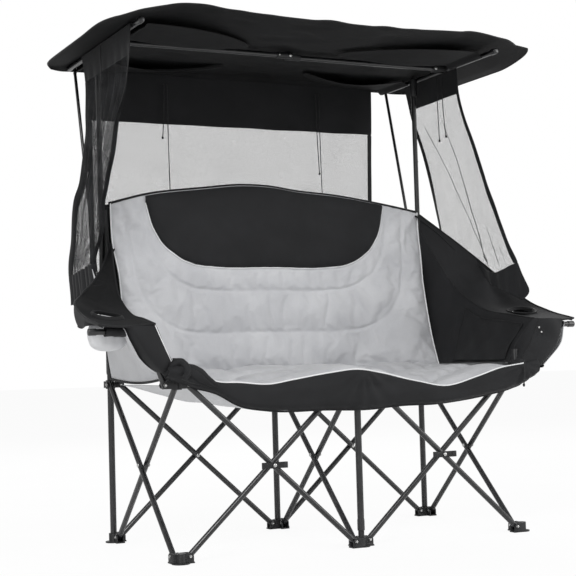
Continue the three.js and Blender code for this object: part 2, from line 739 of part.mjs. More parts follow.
// Socket clamped round the post, with a cup for the upright and a hook for the brace's foot
function makeSocket(side) {
  const post = legPlace([side, 1]).sub(uprightPlace(side));
  const cup = TUBE_RADIUS + SEAT_GAP;
  const clamp = POST_RADIUS + SEAT_GAP;
  const lift = (place, height) => vector(place.x, place.y, height);
  const origin = vector(0, 0, 0);
  const round = (place, radius, low, high) =>
    rod(lift(place, low), lift(place, high), radius, BOSS_SIDES);
  const hook = braceFoot(side).sub(uprightPlace(side));
  const shell = join(
    round(origin, cup + SOCKET_WALL, SOCKET_BOTTOM, SOCKET_TOP),
    round(post, clamp + SOCKET_WALL, SOCKET_BOTTOM, SOCKET_TOP),
    makeHook(hook),
  );
  return shell
    .subtract(round(origin, cup, SOCKET_BOTTOM + SOCKET_FLOOR, SOCKET_TOP + CUT_OVERRUN))
    .subtract(round(post, clamp, SOCKET_BOTTOM - CUT_OVERRUN, SOCKET_TOP + CUT_OVERRUN));
}

// Shelf under the brace's foot, reaching back from the cup
function makeHook(at) {
  const top = BRACE_FOOT_HEIGHT - BRACE_FOOT_DIP - SEAT_GAP;
  const low = vector(Math.min(0, at.x) - BRACE_RADIUS, 0, top - SOCKET_FLOOR);
  const high = vector(Math.max(0, at.x) + BRACE_RADIUS, at.y + BRACE_RADIUS, top);
  return block(low, high);
}

// Housing pressed over the upright's top, with a lug and a rivet for the rail
function makeHousing(side) {
  const inner = TUBE_RADIUS + SEAT_GAP;
  const bottom = UPRIGHT_TOP - HOUSING_LENGTH;
  const roof = UPRIGHT_TOP + SEAT_GAP;
  const pivot = railPivot(side).sub(uprightPlace(side));
  const face = RAIL_LANE - FORK_INNER;
  const back = face - HOUSING_LUG;
  const across = (x) => vector(side * x, pivot.y, RAIL_HEIGHT);
  const low = vector(Math.min(side * back, side * face), 0, bottom);
  const high = vector(Math.max(side * back, side * face), pivot.y, RAIL_HEIGHT);
  return join(
    rod(vector(0, 0, bottom), vector(0, 0, RAIL_HEIGHT), inner + HOUSING_WALL, BOSS_SIDES),
    block(low, high),
    rod(across(back), across(face), EAR_RADIUS, EAR_SIDES),
    rivet(across(face - RIVET_HEAD_HEIGHT), across(RAIL_LANE + FORK_INNER)),
  ).subtract(rod(vector(0, 0, bottom - CUT_OVERRUN), vector(0, 0, roof), inner, POST_SIDES));
}

// Rail along Y from its pivot, with a fork for the strut and a pin for the brace
function makeRail(side) {
  const at = (x, y) => vector(x, y, 0);
  const lane = side * LANE_OFFSET - STRUT_FORWARD;
  const tip = -side * STRUT_PIVOT_INSET;
  const parts = [rod(at(0, -RAIL_FRONT_LENGTH), at(0, RAIL_REAR_LENGTH), TUBE_RADIUS, TUBE_SIDES)];
  const capEnd = RAIL_CAP_LENGTH - RAIL_FRONT_LENGTH;
  parts.push(rod(at(0, -RAIL_FRONT_LENGTH), at(0, capEnd), RAIL_CAP_RADIUS, TUBE_SIDES));
  for (const start of [lane - FORK_OUTER, lane + FORK_INNER]) {
    const end = start + EAR_THICKNESS;
    const low = vector(Math.min(0, tip), start, -EAR_RADIUS);
    parts.push(block(low, vector(Math.max(0, tip), end, EAR_RADIUS)));
    parts.push(rod(at(tip, start), at(tip, end), EAR_RADIUS, EAR_SIDES));
  }
  const bore = TUBE_RADIUS - TUBE_WALL;
  const inside = rod(at(0, capEnd), at(0, RAIL_REAR_LENGTH - RAIL_CAP_LENGTH), bore, TUBE_SIDES);
  const cross = TUBE_RADIUS + CUT_OVERRUN;
  const body = join(...parts)
    .subtract(inside)
    .subtract(rivetHole(at(-cross, 0), at(cross, 0)));
  return join(body, rivet(at(tip, lane - FORK_OUTER), at(tip, lane + FORK_OUTER)), bracePin(side));
}

// Pin on the rail's inner face, near its rear end, with a head past the brace
function bracePin(side) {
  const at = (x) => vector(-side * x, RAIL_REAR_LENGTH - BRACE_TOP_INSET, 0);
  const head = RAIL_LANE - BRACE_LANE + BRACE_RADIUS + RUNNING_GAP;
  return join(
    rod(at(0), at(head + RIVET_HEAD_HEIGHT), BRACE_PIN_RADIUS, RIVET_SIDES),
    rod(at(head), at(head + RIVET_HEAD_HEIGHT), BRACE_RADIUS, RIVET_SIDES),
  );
}

// Half of the cross strut, along X from its rail to the middle, where it ends in a flat knuckle
function makeStrut(side) {
  const length = Math.abs(strutPivot(side).x);
  const out = (x, y = 0) => vector(-side * x, y, 0);
  const reach = TUBE_RADIUS + CUT_OVERRUN;
  const bore = TUBE_RADIUS - TUBE_WALL;
  const knuckleStart = length - STRUT_KNUCKLE_LENGTH;
  const headFace = side * TUBE_RADIUS;
  const headTop = headFace + side * STRUT_HEAD_REACH;
  const body = join(
    rod(out(-TUBE_END), out(length), TUBE_RADIUS, TUBE_SIDES),
    rod(out(length, headFace), out(length, headTop), RIVET_HEAD_RADIUS, RIVET_SIDES),
    knuckle(out(knuckleStart), out(length + TUBE_END), side),
  );
  const inside = rod(out(-TUBE_END - CUT_OVERRUN), out(knuckleStart), bore, TUBE_SIDES);
  return body.subtract(inside).subtract(rivetHole(out(0, -reach), out(0, reach)));
}

// Moulded knuckle, flat where it faces the other half
function knuckle(from, to, side) {
  const face = LANE_OFFSET - RUNNING_GAP;
  const far = STRUT_KNUCKLE_RADIUS + CUT_OVERRUN;
  const low = vector(Math.min(from.x, to.x), Math.min(-side * face, side * far), -far);
  const high = vector(Math.max(from.x, to.x), Math.max(-side * face, side * far), far);
  return rod(from, to, STRUT_KNUCKLE_RADIUS, POST_SIDES).intersect(block(low, high));
}

// Brace along Z from its foot, open at the top, with a hole for the rail's pin
function makeBrace(length) {
  const reach = BRACE_RADIUS + CUT_OVERRUN;
  const at = (x) => vector(x, 0, length);
  const upTo = (height) => vector(0, 0, height);
  const hole = rod(at(-reach), at(reach), BRACE_PIN_RADIUS + RIVET_HOLE_GAP, RIVET_SIDES);
  const inner = BRACE_RADIUS - BRACE_WALL;
  const bore = rod(upTo(BRACE_END), upTo(length + CUT_OVERRUN), inner, BRACE_SIDES);
  const whole = rod(upTo(0), upTo(length + BRACE_END), BRACE_RADIUS, BRACE_SIDES);
  return whole.subtract(bore).subtract(hole);
}

function makeCanopyFrame() {
  makeUprights();
  for (const [name, side] of Object.entries({ left: -1, right: 1 })) {
    piece("canopy_rail_" + name, makeRail(side), "tube", station(railPivot(side)));
    const strutLane = strutPivot(side).add(vector(0, side * LANE_OFFSET, 0));
    piece("canopy_strut_" + name, makeStrut(side), "tube", station(strutLane));
    const foot = braceFoot(side);
    const run = braceTop(side).sub(foot);
    piece("canopy_brace_" + name, makeBrace(run.length()), "tube", station(foot, run, Y_AXIS));
  }
}

// Height of the backrest's top edge, and the plane that it hangs in
const backTop = (x) => BACK_CORNER_TOP + BACK_CROWN * (1 - (x / BACK_HALF_WIDTH) ** 2);
const backPlane = (z) => BACK_PLANE + BACK_TOP_LEAN * smooth(BACK_LEAN_START, BACK_CORNER_TOP, z);

// Depth of a sewn channel at a share of the pad, from 0 to 1
const CHANNEL_SHARES = [0.28, 0.5, 0.74];
const CHANNEL_WIDTH_SHARE = 0.04;
function channelShare(share, count) {
  const nearest = Math.min(...CHANNEL_SHARES.slice(0, count).map((at) => Math.abs(share - at)));
  return Math.max(0, 1 - nearest / CHANNEL_WIDTH_SHARE);
}

// Fullness of a pad, from 0 at its sewn edge to 1
const EDGE_SHARE = 0.14;
function puffShare(u, v) {
  const across = smooth(0, EDGE_SHARE, Math.min(u, 1 - u));
  const upwards = smooth(0, EDGE_SHARE, Math.min(v, 1 - v));
  return Math.sqrt(across * upwards);
}

const onBackrest = (x, level) => {
  const z = mix(BACK_BOTTOM, backTop(x), level);
  return vector(x, backPlane(z), z);
};
function backThickness(x, level) {
  const full = puffShare((x + BACK_HALF_WIDTH) / (2 * BACK_HALF_WIDTH), level);
  const channel = CHANNEL_DEPTH * channelShare(level, BACK_CHANNELS);
  return BACK_EDGE + (BACK_THICKNESS - BACK_EDGE - channel) * full;
}

function makeBackrest() {
  const across = (u) => mix(-BACK_HALF_WIDTH, BACK_HALF_WIDTH, u);
  const place = (u, v) => onBackrest(across(u), v);
  let body = sheet(BACK_COLUMNS, BACK_ROWS, place, (u, v) => backThickness(across(u), v));
  for (const column of [-1, 0, 1]) {
    const top = (column === 0 ? MIDDLE_POST_TOP : CORNER_POST_TOP) + SEAT_GAP;
    const low = legPlace([column, 1], BACK_BOTTOM - CUT_OVERRUN);
    body = body.subtract(rod(low, legPlace([column, 1], top), POST_RADIUS + SEAT_GAP, POST_SIDES));
  }
  piece("backrest", body, "grey_cloth");
}

// Black panel over the upper backrest, with round lower corners
const PANEL_CORNER_SHARE = 0.4;
function makeHeadrest() {
  const place = (u, v) => {
    const corner = Math.max(0, PANEL_CORNER_SHARE - v) / PANEL_CORNER_SHARE;
    const half = HEADREST_HALF_WIDTH - HEADREST_CORNER * (1 - Math.sqrt(1 - corner ** 2));
    const x = mix(-half, half, u);
    const top = backTop(x) - HEADREST_TOP_DROP;
    const z = mix(top - HEADREST_HEIGHT, top, v);
    const level = (z - BACK_BOTTOM) / (backTop(x) - BACK_BOTTOM);
    const front = onBackrest(x, level).y - backThickness(x, level) / 2;
    return vector(x, front - 2 * CLOTH_GAP - HEADREST_THICKNESS / 2, z);
  };
  const body = sheet(HEADREST_COLUMNS, HEADREST_ROWS, place, () => HEADREST_THICKNESS);
  piece("headrest_panel", body, "black_cloth");
}

// Seat: a padded hammock that hangs between the legs, lower in the middle of each place
const SEAT_REAR_DIP_SHARE = 0.5;
function makeSeat() {
  const edgeHeight = HUB_PIVOT_HEIGHT + EAR_RADIUS + 2 * CLOTH_GAP + SEAT_EDGE / 2;
  const place = (u, v) => {
    const x = mix(-SEAT_HALF_WIDTH, SEAT_HALF_WIDTH, u);
    const sling = Math.sin((Math.PI * Math.abs(x)) / BAY_WIDTH) ** 2;
    const dip = SEAT_DIP * sling * mix(1, SEAT_REAR_DIP_SHARE, v);
    const sag = SEAT_SAG * Math.sin(Math.PI * v) * puffShare(u, v);
    return vector(x, mix(SEAT_FRONT, SEAT_REAR, v), edgeHeight - dip - sag);
  };
  const thick = (u, v) => {
    const channel = CHANNEL_DEPTH * channelShare(v, SEAT_CHANNELS);
    return SEAT_EDGE + (SEAT_THICKNESS - SEAT_EDGE - channel) * puffShare(u, v);
  };
  piece("seat", sheet(SEAT_COLUMNS, SEAT_ROWS, place, thick), "grey_cloth");
}

// Front band: a flange over the hubs and a drop in front of the tubes
const BAND_FLANGE_SHARE = 0.5;
function bandTop(x) {
  const share = Math.abs(x) / BAND_HALF_WIDTH;
  const middle = FRONT_POST_TOP + POST_CAP_HEIGHT + CLOTH_GAP + BAND_THICKNESS / 2;
  return mix(middle, BAND_CORNER_TOP, share) - BAND_SAG * Math.sin(Math.PI * share) ** 2;
}
function makeBand() {
  const rear = SEAT_FRONT - CLOTH_GAP - BAND_THICKNESS;
  const place = (u, v) => {
    const x = mix(-BAND_HALF_WIDTH, BAND_HALF_WIDTH, u);
    const top = bandTop(x);
    if (v < BAND_FLANGE_SHARE) {
      return vector(x, mix(rear, -BAND_FRONT, v / BAND_FLANGE_SHARE), top);
    }
    const drop = mix(BAND_DROP, BAND_CORNER_DROP, (Math.abs(x) / BAND_HALF_WIDTH) ** 4);
    const down = (v - BAND_FLANGE_SHARE) / (1 - BAND_FLANGE_SHARE);
    return vector(x, -BAND_FRONT, top - drop * down);
  };
  const body = sheet(BAND_COLUMNS, BAND_ROWS, place, () => BAND_THICKNESS);
  piece("front_band", body, "black_cloth");
}

// Side panel: rises from the seat's edge to a ridge, then spreads outwards as the arm shelf
const SHELF_SHARE = 0.46;
const RIDGE_SHARE = 0.5;
const CLEAR_SHARE = 0.2;
const shelfFrontHeight = () =>
  armBarPivot(1).z + ARM_CAP_RADIUS + CLOTH_GAP + PANEL_THICKNESS / 2 - SHELF_LOWERING;
const shelfRearHeight = () => shelfFrontHeight() + SHELF_RISE;
function panelPoint(side, u, v) {
  const rearX = BAY_WIDTH + PANEL_REAR_OUT;
  const rearZ = BACK_CORNER_TOP - PANEL_REAR_DROP;
  const between = (front, shelf, rear) => course([[0, front], [SHELF_SHARE, shelf], [1, rear]], v);
  const foot = [BAY_WIDTH - POST_RADIUS - PANEL_THICKNESS, PANEL_FOOT_HEIGHT];
  const ridge = [
    between(RIDGE_FRONT, RIDGE_REAR, rearX - PANEL_RIDGE_IN),
    between(shelfFrontHeight(), shelfRearHeight() - RIDGE_DROP, rearZ - PANEL_RIDGE_DROP),
  ];
  const outer = [
    between(SHELF_OUTER_FRONT, SHELF_OUTER_REAR, rearX),
    between(shelfFrontHeight(), shelfRearHeight(), rearZ),
  ];
  const [from, to] = u < RIDGE_SHARE ? [foot, ridge] : [ridge, outer];
  const share = u < RIDGE_SHARE ? u / RIDGE_SHARE : (u - RIDGE_SHARE) / (1 - RIDGE_SHARE);
  const footFront = POST_RADIUS + CLOTH_GAP + PANEL_THICKNESS;
  const front = mix(footFront, -SHELF_FRONT, smooth(CLEAR_SHARE, RIDGE_SHARE, u));
  const x = side * mix(from[0], to[0], share);
  return vector(x, mix(front, PANEL_REAR, v), mix(from[1], to[1], share));
}

// Centre of the cup hole, a little under the shelf
function cupPlace(side) {
  const depth = (CUP_BACK + SHELF_FRONT) / (PANEL_REAR + SHELF_FRONT);
  const level = mix(shelfFrontHeight(), shelfRearHeight(), depth / SHELF_SHARE);
  return vector(side * CUP_OUT, CUP_BACK, level - CUP_SINK);
}

function makeSidePanels() {
  for (const [name, side] of Object.entries({ left: -1, right: 1 })) {
    const cup = cupPlace(side);
    const top = cup.clone().setZ(cup.z + CUP_DEPTH);
    const hole = rod(cup.clone().setZ(cup.z - CUP_DEPTH), top, CUP_RADIUS, CUP_SIDES);
    const place = (u, v) => panelPoint(side, u, v);
    const panel = sheet(PANEL_COLUMNS, PANEL_ROWS, place, () => PANEL_THICKNESS);
    piece("side_panel_" + name, panel.subtract(hole), "black_cloth");
    piece("cup_pouch_" + name, makePouch(), "grey_cloth", station(cup));
  }
}

function makePouch() {
  const low = CUP_RADIUS - CUP_TAPER;
  const wide = CUP_RADIUS + CUP_WALL;
  return turned(
    [
      [0, -CUP_DEPTH],
      [low, -CUP_DEPTH],
      [wide, -CUP_DEPTH / 2],
      [wide, 0],
      [CUP_RADIUS, 0],
      [CUP_RADIUS, -CUP_DEPTH / 2],
      [low - CUP_WALL, CUP_WALL - CUP_DEPTH],
      [0, CUP_WALL - CUP_DEPTH],
    ],
    CUP_SIDES,
  );
}

// Roof cloth over the rails, with a flap that hangs outwards past each rail
const roofEdge = () => railPivot(1).x + TUBE_RADIUS;
const roofLevel = RAIL_HEIGHT + STRUT_KNUCKLE_RADIUS + CLOTH_GAP + CLOTH_THICKNESS / 2;
const FLAP_SHARE = 0.1;
function makeRoof() {
  const edge = roofEdge();
  const half = edge + ROOF_FLAP_WIDTH;
  const rear = railPivot(1).y + RAIL_REAR_LENGTH + ROOF_REAR_OVERHANG;
  const across = [[0, -half], [FLAP_SHARE, -edge], [1 - FLAP_SHARE, edge], [1, half]];
  const place = (u, v) => {
    const x = course(across, u);
    const inside = Math.min(1, Math.abs(x) / edge);
    const out = Math.max(0, Math.abs(x) - edge) / ROOF_FLAP_WIDTH;
    const tent = ROOF_RISE * inside ** 2 * (1 - v);
    return vector(x, mix(ROOF_FRONT, rear, v), roofLevel + tent - ROOF_FLAP_DROP * out);
  };
  const body = sheet(ROOF_COLUMNS, ROOF_ROWS, place, () => CLOTH_THICKNESS);
  piece("roof_cloth", body, "black_cloth");
}

// Rear curtain: hangs from the roof's rear edge in soft upright folds
function makeRearCurtain() {
  const top = roofLevel - CLOTH_THICKNESS / 2 - CLOTH_GAP;
  const plane = railPivot(1).y + RAIL_REAR_LENGTH + CLOTH_GAP + CLOTH_THICKNESS / 2;
  const place = (u, v) => {
    const wave = 1 - Math.cos(2 * Math.PI * REAR_CURTAIN_FOLDS * u);
    const x = mix(-REAR_CURTAIN_HALF_WIDTH, REAR_CURTAIN_HALF_WIDTH, u);
    return vector(x, plane + REAR_CURTAIN_FOLD * wave * (1 - v), mix(REAR_CURTAIN_BOTTOM, top, v));
  };
  const body = sheet(REAR_CURTAIN_COLUMNS, CURTAIN_ROWS, place, () => CLOTH_THICKNESS);
  piece("rear_curtain", body, "mesh_cloth");
}

// Side curtains hang from the rails and flare outwards. The left one is gathered towards the
// rear, and the right one is spread to the front. Each hem passes through its heights at those
// shares of the curtain's width, from front to rear.
const HEMS = {
  left: {
    front: LEFT_HEM_FRONT,
    rear: LEFT_HEM_REAR,
    shares: [0, 1],
    heights: LEFT_HEM_HEIGHTS,
  },
  right: {
    front: RIGHT_HEM_FRONT,
    rear: SIDE_CURTAIN_REAR,
    shares: [0, 0.43, 0.65, 1],
    heights: RIGHT_HEM_HEIGHTS,
  },
};
const FLARE_FALL_SHARE = 0.6;
function makeSideCurtain(side, hem) {
  const top = RAIL_HEIGHT + TUBE_RADIUS;
  const inner = railPivot(1).x + FORK_INNER + RIVET_HEAD_HEIGHT;
  const bottoms = hem.shares.map((share, i) => [share, hem.heights[i]]);
  const place = (u, v) => {
    const down = 1 - v;
    const wave = SIDE_CURTAIN_FOLD * (1 - Math.cos(2 * Math.PI * SIDE_CURTAIN_FOLDS * u));
    const flare = SIDE_CURTAIN_FLARE * (1 - FLARE_FALL_SHARE * u ** 2);
    const x = inner + CLOTH_GAP + CLOTH_THICKNESS / 2 + (flare + wave) * down;
    const upper = mix(SIDE_CURTAIN_FRONT, SIDE_CURTAIN_REAR, u);
    const y = mix(upper, mix(hem.front, hem.rear, u), down);
    return vector(side * x, y, mix(course(bottoms, u), top, v));
  };
  return sheet(SIDE_CURTAIN_COLUMNS, CURTAIN_ROWS, place, () => CLOTH_THICKNESS);
}

makeLegs();
makeCrossTubes();
makePlates();
makeArms();
makeCanopyFrame();
makeBackrest();
makeHeadrest();
makeSeat();
makeBand();
makeSidePanels();
makeRoof();
makeRearCurtain();
piece("side_curtain_left", makeSideCurtain(-1, HEMS.left), "mesh_cloth");
piece("side_curtain_right", makeSideCurtain(1, HEMS.right), "mesh_cloth");

// The part's origin is on the floor, under the middle of its overall box
const extent = new THREE.Box3().setFromObject(model, true);
const middle = extent.getCenter(vector(0, 0, 0));
const part = new THREE.Group();
part.name = "part";
model.position.set(-middle.x, -middle.y, 0);
part.add(model);

export default part;
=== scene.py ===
"""Folding camping loveseat with a shade canopy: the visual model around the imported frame.

Metres, +X to the sitter's left, +Y to the back, +Z up. Left and right in the names are as seen
from the front, so left is -X. Places are worked out from the front row of legs, and then moved
to the frame's own origin."""
import json
import math
from contextlib import contextmanager

import bmesh
import bpy
import numpy as np
from mathutils import Matrix, Vector


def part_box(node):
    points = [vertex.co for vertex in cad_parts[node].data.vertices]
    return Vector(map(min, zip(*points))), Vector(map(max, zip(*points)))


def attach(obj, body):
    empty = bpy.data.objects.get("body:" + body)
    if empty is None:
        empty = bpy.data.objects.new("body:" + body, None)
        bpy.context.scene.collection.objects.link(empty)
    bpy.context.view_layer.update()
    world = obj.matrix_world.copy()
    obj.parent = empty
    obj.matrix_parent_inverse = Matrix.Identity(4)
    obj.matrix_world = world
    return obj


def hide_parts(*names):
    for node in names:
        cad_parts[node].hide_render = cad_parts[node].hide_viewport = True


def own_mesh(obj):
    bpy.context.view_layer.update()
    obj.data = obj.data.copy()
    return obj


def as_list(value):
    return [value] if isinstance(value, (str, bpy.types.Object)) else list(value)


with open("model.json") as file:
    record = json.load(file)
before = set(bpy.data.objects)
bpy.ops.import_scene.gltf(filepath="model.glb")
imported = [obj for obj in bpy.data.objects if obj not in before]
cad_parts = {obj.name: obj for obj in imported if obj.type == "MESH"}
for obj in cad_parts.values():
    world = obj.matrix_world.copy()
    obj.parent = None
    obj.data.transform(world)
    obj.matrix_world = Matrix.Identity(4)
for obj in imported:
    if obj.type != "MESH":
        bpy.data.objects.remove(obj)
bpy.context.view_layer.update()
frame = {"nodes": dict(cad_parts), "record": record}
NODES = frame["nodes"]
BODIES = frame["record"]["behaviour"]["bodies"]
BODY_OF = {node: body for body, nodes in BODIES.items() for node in nodes}
SIDES = {"left": -1, "right": 1}

# Frame sizes
BAY = 0.55
POSTS = (-BAY, 0, BAY)
FRONT_ROW = sum(corner.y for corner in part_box("front_middle_post")) / 2
FOOT_PIVOT = 0.018
HUB_PIVOT = 0.476
PIVOT_OFFSET = 0.027
LANE = 0.009
TUBE_RADIUS = 0.008
TUBE_WALL = 0.0012
POST_RADIUS = 0.0095
POST_WALL = 0.0015
FORK_FACE = 0.0124
RAIL_HEIGHT = 1.487
UPRIGHT_REACH = 0.018
UPRIGHT_ANGLE = math.radians(30)
BUTTON_HEIGHT = 1.202


def at(x, y, z):
    """Point of the frame from a place measured from the front row of legs"""
    return Vector((x, FRONT_ROW + y, z))


# Camera at the photograph's viewing angle
CAMERA_PLACE = at(-1.8938, -3.4383, 0.532)
CAMERA_YAW = -26.101
CAMERA_PITCH = -3.044
CAMERA_ROLL = -1.641
SENSOR = 36
CAMERA_LENS = 1370 / 576 * SENSOR


def make_camera():
    yaw, pitch, roll = (math.radians(a) for a in (CAMERA_YAW, CAMERA_PITCH, CAMERA_ROLL))
    back = Vector((math.sin(yaw) * math.cos(pitch), -math.cos(yaw) * math.cos(pitch), math.sin(pitch)))
    level = Vector((math.cos(yaw), math.sin(yaw), 0))
    upright = back.cross(level)
    right = level * math.cos(roll) + upright * math.sin(roll)
    up = upright * math.cos(roll) - level * math.sin(roll)
    data = bpy.data.cameras.new("camera")
    data.sensor_width = SENSOR
    data.lens = CAMERA_LENS
    data.clip_start, data.clip_end = 0.05, 50
    camera = link(bpy.data.objects.new("camera", data))
    axes = Matrix((right, up, back)).transposed()
    camera.matrix_world = Matrix.Translation(CAMERA_PLACE) @ axes.to_4x4()
    bpy.context.scene.camera = camera


# Shader maths


class Sock:
    """Shader socket whose Python arithmetic adds Math nodes"""

    def __init__(self, tree, socket):
        self.tree = tree
        self.socket = socket

    def math(self, operation, *others):
        node = self.tree.nodes.new("ShaderNodeMath")
        node.operation = operation
        for place, value in zip(node.inputs, (self, *others)):
            feed(self.tree, place, value)
        return Sock(self.tree, node.outputs[0])

    def __add__(self, other):
        return self.math("ADD", other)

    def __sub__(self, other):
        return self.math("SUBTRACT", other)

    def __mul__(self, other):
        return self.math("MULTIPLY", other)

    def __rsub__(self, other):
        return self * -1 + other

    __radd__ = __add__
    __rmul__ = __mul__

    def sine(self):
        return self.math("SINE")

    def size(self):
        return self.math("ABSOLUTE")

    def lower(self, other):
        return self.math("MINIMUM", other)

    def upper(self, other):
        return self.math("MAXIMUM", other)

    def smooth(self, low, high):
        """0 below low, 1 above high, and a soft step between"""
        node = self.tree.nodes.new("ShaderNodeMapRange")
        node.interpolation_type = "SMOOTHSTEP"
        for name, value in (("Value", self), ("From Min", low), ("From Max", high)):
            feed(self.tree, node.inputs[name], value)
        return Sock(self.tree, node.outputs[0])


def feed(tree, place, value):
    if isinstance(value, Sock):
        tree.links.new(value.socket, place)
    else:
        place.default_value = value


def white_light(tree, kind):
    made = tree.nodes.new(kind)
    made.inputs["Color"].default_value = (1, 1, 1, 1)
    return made


def pick_shader(tree, share, usual, other, output):
    """Sends a mix of two shaders to the output node"""
    pick = tree.nodes.new("ShaderNodeMixShader")
    feed(tree, pick.inputs[0], share)
    for place, shader in zip(pick.inputs[1:], (usual, other)):
        tree.links.new(shader.outputs[0], place)
    tree.links.new(pick.outputs[0], output.inputs["Surface"])


class Finish:
    """Material under construction: one method makes any node"""

    def __init__(self, name):
        self.material = bpy.data.materials.new(name)
        self.material.use_nodes = True
        self.tree = self.material.node_tree
        self.shader = self.tree.nodes["Principled BSDF"]
        self.place = Sock(self.tree, self.node("ShaderNodeTexCoord").outputs["Object"])

    def node(self, kind, settings=None, **values):
        made = self.tree.nodes.new(kind)
        for key, value in (settings or {}).items():
            setattr(made, key, value)
        for key, value in values.items():
            feed(self.tree, made.inputs[key.replace("_", " ")], value)
        return made

    def read(self, kind, output, **values):
        return Sock(self.tree, self.node(kind, None, **values).outputs[output])

    def noise(self, scale, detail=3.0, rough=0.55):
        values = dict(Vector=self.place, Scale=scale, Detail=detail, Roughness=rough)
        return self.read("ShaderNodeTexNoise", "Fac", **values)

    def cloth_map(self):
        return Sock(self.tree, self.node("ShaderNodeUVMap", {"uv_map": "cloth"}).outputs[0])

    def cloth_ways(self):
        """Metres along the two ways of the piece's own surface"""
        split = self.node("ShaderNodeSeparateXYZ", None, Vector=self.cloth_map())
        return [Sock(self.tree, split.outputs[i]) for i in (0, 1)]

    def blend(self, factor, low, high):
        made = self.node("ShaderNodeMix", {"data_type": "RGBA"})
        for index, value in ((0, factor), (6, low), (7, high)):
            feed(self.tree, made.inputs[index], (*value, 1) if isinstance(value, tuple) else value)
        return Sock(self.tree, made.outputs[2])

    def bump(self, height, distance, strength):
        made = self.node("ShaderNodeBump", None, Height=height, Distance=distance, Strength=strength)
        self.tree.links.new(made.outputs[0], self.shader.inputs["Normal"])

    def set(self, **values):
        for key, value in values.items():
            feed(self.tree, self.shader.inputs[key.replace("_", " ")], value)


def tube_finish():
    """Satin black powder coat with faint orange peel and rubbed patches"""
    f = Finish("black_powder_coat")
    peel = f.noise(900, 2)
    wear = f.noise(38, 4).smooth(0.5, 0.72)
    dust = f.noise(9, 3).smooth(0.42, 0.7)
    f.set(Base_Color=f.blend(wear * 0.5 + dust * 0.3, (0.006, 0.0063, 0.007), (0.022, 0.0225, 0.024)))
    f.set(Roughness=0.3 + wear * 0.12 + dust * 0.1, Metallic=0.0, Specular_IOR_Level=0.55)
    f.set(Coat_Weight=0.4, Coat_Roughness=0.16)
    f.bump(peel, 0.00012, 0.6)
    return f.material


def moulding_finish():
    """Black nylon with a fine moulded grain"""
    f = Finish("black_nylon")
    grain = f.read("ShaderNodeTexVoronoi", "Distance", Vector=f.place, Scale=950.0)
    patch = f.noise(22, 4).smooth(0.4, 0.75)
    f.set(Base_Color=f.blend(patch, (0.0105, 0.0108, 0.0115), (0.024, 0.0245, 0.026)))
    f.set(Roughness=0.46 + patch * 0.14, Specular_IOR_Level=0.42)
    f.bump(grain, 0.0001, 0.5)
    return f.material


def metal_finish(name, colour, rough):
    """Plated steel with fine scratches"""
    f = Finish(name)
    scratch = f.noise(420, 3)
    stain = f.noise(60, 3).smooth(0.45, 0.8)
    f.set(Base_Color=f.blend(stain, colour, tuple(0.72 * c for c in colour)), Metallic=1.0)
    f.set(Roughness=rough + scratch * 0.12)
    f.bump(scratch, 0.00005, 0.4)
    return f.material


def cloth_finish(name, low, high, pitch, rough, sheen, slub):
    """Woven polyester: crossed threads, slubs along them, soft patches and a sheen"""
    f = Finish(name)
    u, v = (way * (math.tau / pitch) for way in f.cloth_ways())
    threads = (u.sine() * v.sine()) * 0.5 + 0.5
    uneven = f.read("ShaderNodeTexNoise", "Fac", Vector=f.cloth_map(), Scale=260.0, Detail=3.0)
    patch = f.noise(7, 4).smooth(0.34, 0.72)
    crumple = f.noise(34, 5, 0.6)
    shade = patch * 0.55 + threads * 0.25 + uneven * slub
    f.set(Base_Color=f.blend(shade.lower(1.0), low, high))
    f.set(Roughness=rough + threads * 0.06, Specular_IOR_Level=0.3)
    f.set(Sheen_Weight=sheen, Sheen_Roughness=0.45)
    f.bump(threads * 0.35 + uneven * 0.3 + crumple * 6.0, CLOTH_RELIEF, 0.55)
    return f.material


def net_finish():
    """Fine black netting: square threads with holes between, and slightly uneven cells"""
    f = Finish("black_netting")
    jitter = (f.noise(420, 2) - 0.5) * NET_PITCH
    u, v = ((way + jitter) * (math.tau / NET_PITCH) for way in f.cloth_ways())
    across, along = (u * 0.5).sine().size(), (v * 0.5).sine().size()
    thread = 1 - across.lower(along).smooth(NET_THREAD - 0.06, NET_THREAD + 0.06)
    patch = f.noise(16, 4).smooth(0.35, 0.7)
    f.set(Base_Color=f.blend(patch, (0.012, 0.0122, 0.013), (0.034, 0.035, 0.037)))
    f.set(Roughness=0.85, Specular_IOR_Level=0.2, Alpha=thread * (0.94 + patch * 0.06))
    f.material.surface_render_method = "DITHERED"
    return f.material


def floor_finish():
    """Pale floor that shows white to the camera but keeps the object's shadow"""
    f = Finish("pale_floor")
    tone = f.noise(3, 3).smooth(0.3, 0.7)
    f.set(Base_Color=f.blend(tone, (0.86, 0.86, 0.86), (0.9, 0.9, 0.9)), Roughness=0.9)
    f.set(Specular_IOR_Level=0.1)
    seen = f.read("ShaderNodeLightPath", "Is Camera Ray") * FLOOR_GLOW
    glow = white_light(f.tree, "ShaderNodeEmission")
    pick_shader(f.tree, seen, f.shader, glow, f.tree.nodes["Material Output"])
    return f.material


CLOTH_RELIEF = 0.00035
NET_PITCH = 0.0021
NET_THREAD = 0.42
FLOOR_GLOW = 0.92

